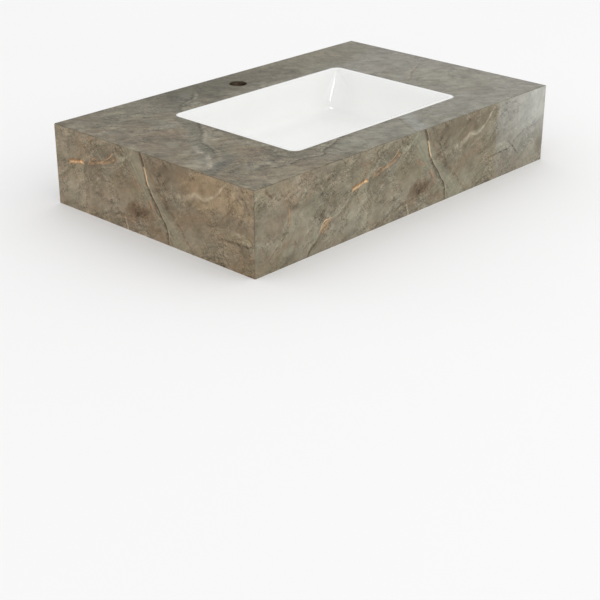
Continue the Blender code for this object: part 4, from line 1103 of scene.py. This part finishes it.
def basin(finish):
    inner = rim_rings() + bowl_rings(0)
    floor = floor_rings(inner[-1], RECESS_RADIUS + RECESS_EDGE, FLOOR_LOW)
    boss_low = SEAT - BOSS_LENGTH
    drain = [drain_ring(RECESS_RADIUS + RECESS_EDGE / 3, FLOOR_LOW - RECESS_EDGE / 3),
             drain_ring(RECESS_RADIUS, FLOOR_LOW - RECESS_EDGE), drain_ring(RECESS_RADIUS, SEAT),
             drain_ring(DRAIN_RADIUS, SEAT), drain_ring(DRAIN_RADIUS, boss_low),
             drain_ring(BOSS_RADIUS, boss_low)]
    flange_low = FLANGE_TOP - FLANGE_THICKNESS
    outer_wall = [ring for ring in bowl_rings(CERAMIC) if ring[0].z < flange_low - FLANGE_ARRIS]
    outer_floor = floor_rings(outer_wall[-1], BOSS_RADIUS, FLOOR_LOW - CERAMIC)
    rings = inner + floor + drain + outer_floor[::-1] + outer_wall[::-1] + outer_rings()
    made = skin("basin_glazed", rings)
    body_cover = CERAMIC / 2
    body = duct("duct_body", body_cover, DUCT_COVER + DUCT_THICKNESS + DUCT_WALL - body_cover,
                DUCT_WIDTH / 2 + DUCT_WALL, flange_low + FLANGE_THICKNESS / 2, DRAIN_RADIUS + DUCT_WALL)
    soften(body, DUCT_ROUND + DUCT_WALL, BODY_SEGMENTS)
    apply_modifiers(body)
    combine(made, body, "UNION")
    bore = duct("duct_bore", DUCT_COVER, DUCT_THICKNESS, DUCT_WIDTH / 2,
                HEIGHT - OVERFLOW_DROP + OVERFLOW_RADIUS, DRAIN_RADIUS / 2)
    soften(bore, DUCT_ROUND, BORE_SEGMENTS)
    apply_modifiers(bore)
    combine(made, bore, "DIFFERENCE")
    combine(made, overflow_cutter(), "DIFFERENCE")
    made.data.materials.clear()
    made.data.materials.append(finish)
    made.data.shade_smooth()
    made.data.set_sharp_from_angle(angle=SHARP_ANGLE)
    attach(made, "top")
    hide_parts("basin")


# Studio

FLOOR_HALF = 30.0
FLOOR_DARKER = (0.92, 0.92, 0.92, 1.0)
FLOOR_LIGHTER = (0.925, 0.925, 0.925, 1.0)
HORIZON = (1.02, 1.02, 1.02, 1.0)
ZENITH = (0.98, 0.98, 0.98, 1.0)


def floor():
    bm = bmesh.new()
    bmesh.ops.create_grid(bm, x_segments=1, y_segments=1, size=FLOOR_HALF)
    made = from_bmesh("studio_floor", bm)
    surface, graph, shader = new_material("studio_floor")
    tint = graph.noise(object_point(graph), 0.6, 2.0)
    colour = graph.mix(graph.span(tint, 0.3, 0.7), FLOOR_DARKER, FLOOR_LIGHTER)
    graph.feed(shader.inputs["Base Color"], colour)
    shader.inputs["Roughness"].default_value = 1.0
    shader.inputs["Specular IOR Level"].default_value = 0.0
    made.data.materials.append(surface)


def world_light():
    """An even white sky, a little brighter at the horizon than overhead."""
    world = bpy.data.worlds.new("studio")
    world.use_nodes = True
    graph = Graph(world.node_tree)
    up = graph.split(graph.add("TexCoord").outputs["Generated"])[2]
    background = world.node_tree.nodes["Background"]
    graph.feed(background.inputs["Color"], graph.mix(graph.span(up, 0.0, 1.0, smooth=False), HORIZON, ZENITH))
    bpy.context.scene.world = world


def softbox(name, place, aim, width, height, power):
    lamp = bpy.data.lights.new(name, "AREA")
    lamp.shape = "RECTANGLE"
    lamp.size = width
    lamp.size_y = height
    lamp.energy = power
    made = bpy.data.objects.new(name, lamp)
    made.location = place
    made.rotation_euler = (Vector(aim) - Vector(place)).to_track_quat("-Z", "Y").to_euler()
    made.visible_camera = False
    bpy.context.scene.collection.objects.link(made)
    return made


def lights():
    """A weak front light, and a tall strip that only shows in gloss, as a highlight in the bowl's crease."""
    softbox("front_softbox", place=(1.3, -3.0, 1.8), aim=(0, 0, HEIGHT), width=2.4, height=1.6, power=10)
    strip = softbox("strip_softbox", place=(-0.30, -2.85, 1.9), aim=(0.1, 0, 0.8), width=0.10, height=3.6,
                    power=48)
    strip.visible_diffuse = False


def camera():
    lens = bpy.data.cameras.new("camera")
    lens.sensor_width = SENSOR
    lens.lens = LENS
    made = bpy.data.objects.new("camera", lens)
    made.location = CAMERA_PLACE
    made.rotation_euler = (Vector(CAMERA_AIM) - Vector(CAMERA_PLACE)).to_track_quat("-Z", "Y").to_euler()
    bpy.context.scene.collection.objects.link(made)
    bpy.context.scene.camera = made


finishes = fitting_materials()
dress_frame(finishes)
basin(finishes["glazed_ceramic"])
floor()
world_light()
lights()
camera()
bpy.context.scene.view_settings.view_transform = "Standard"
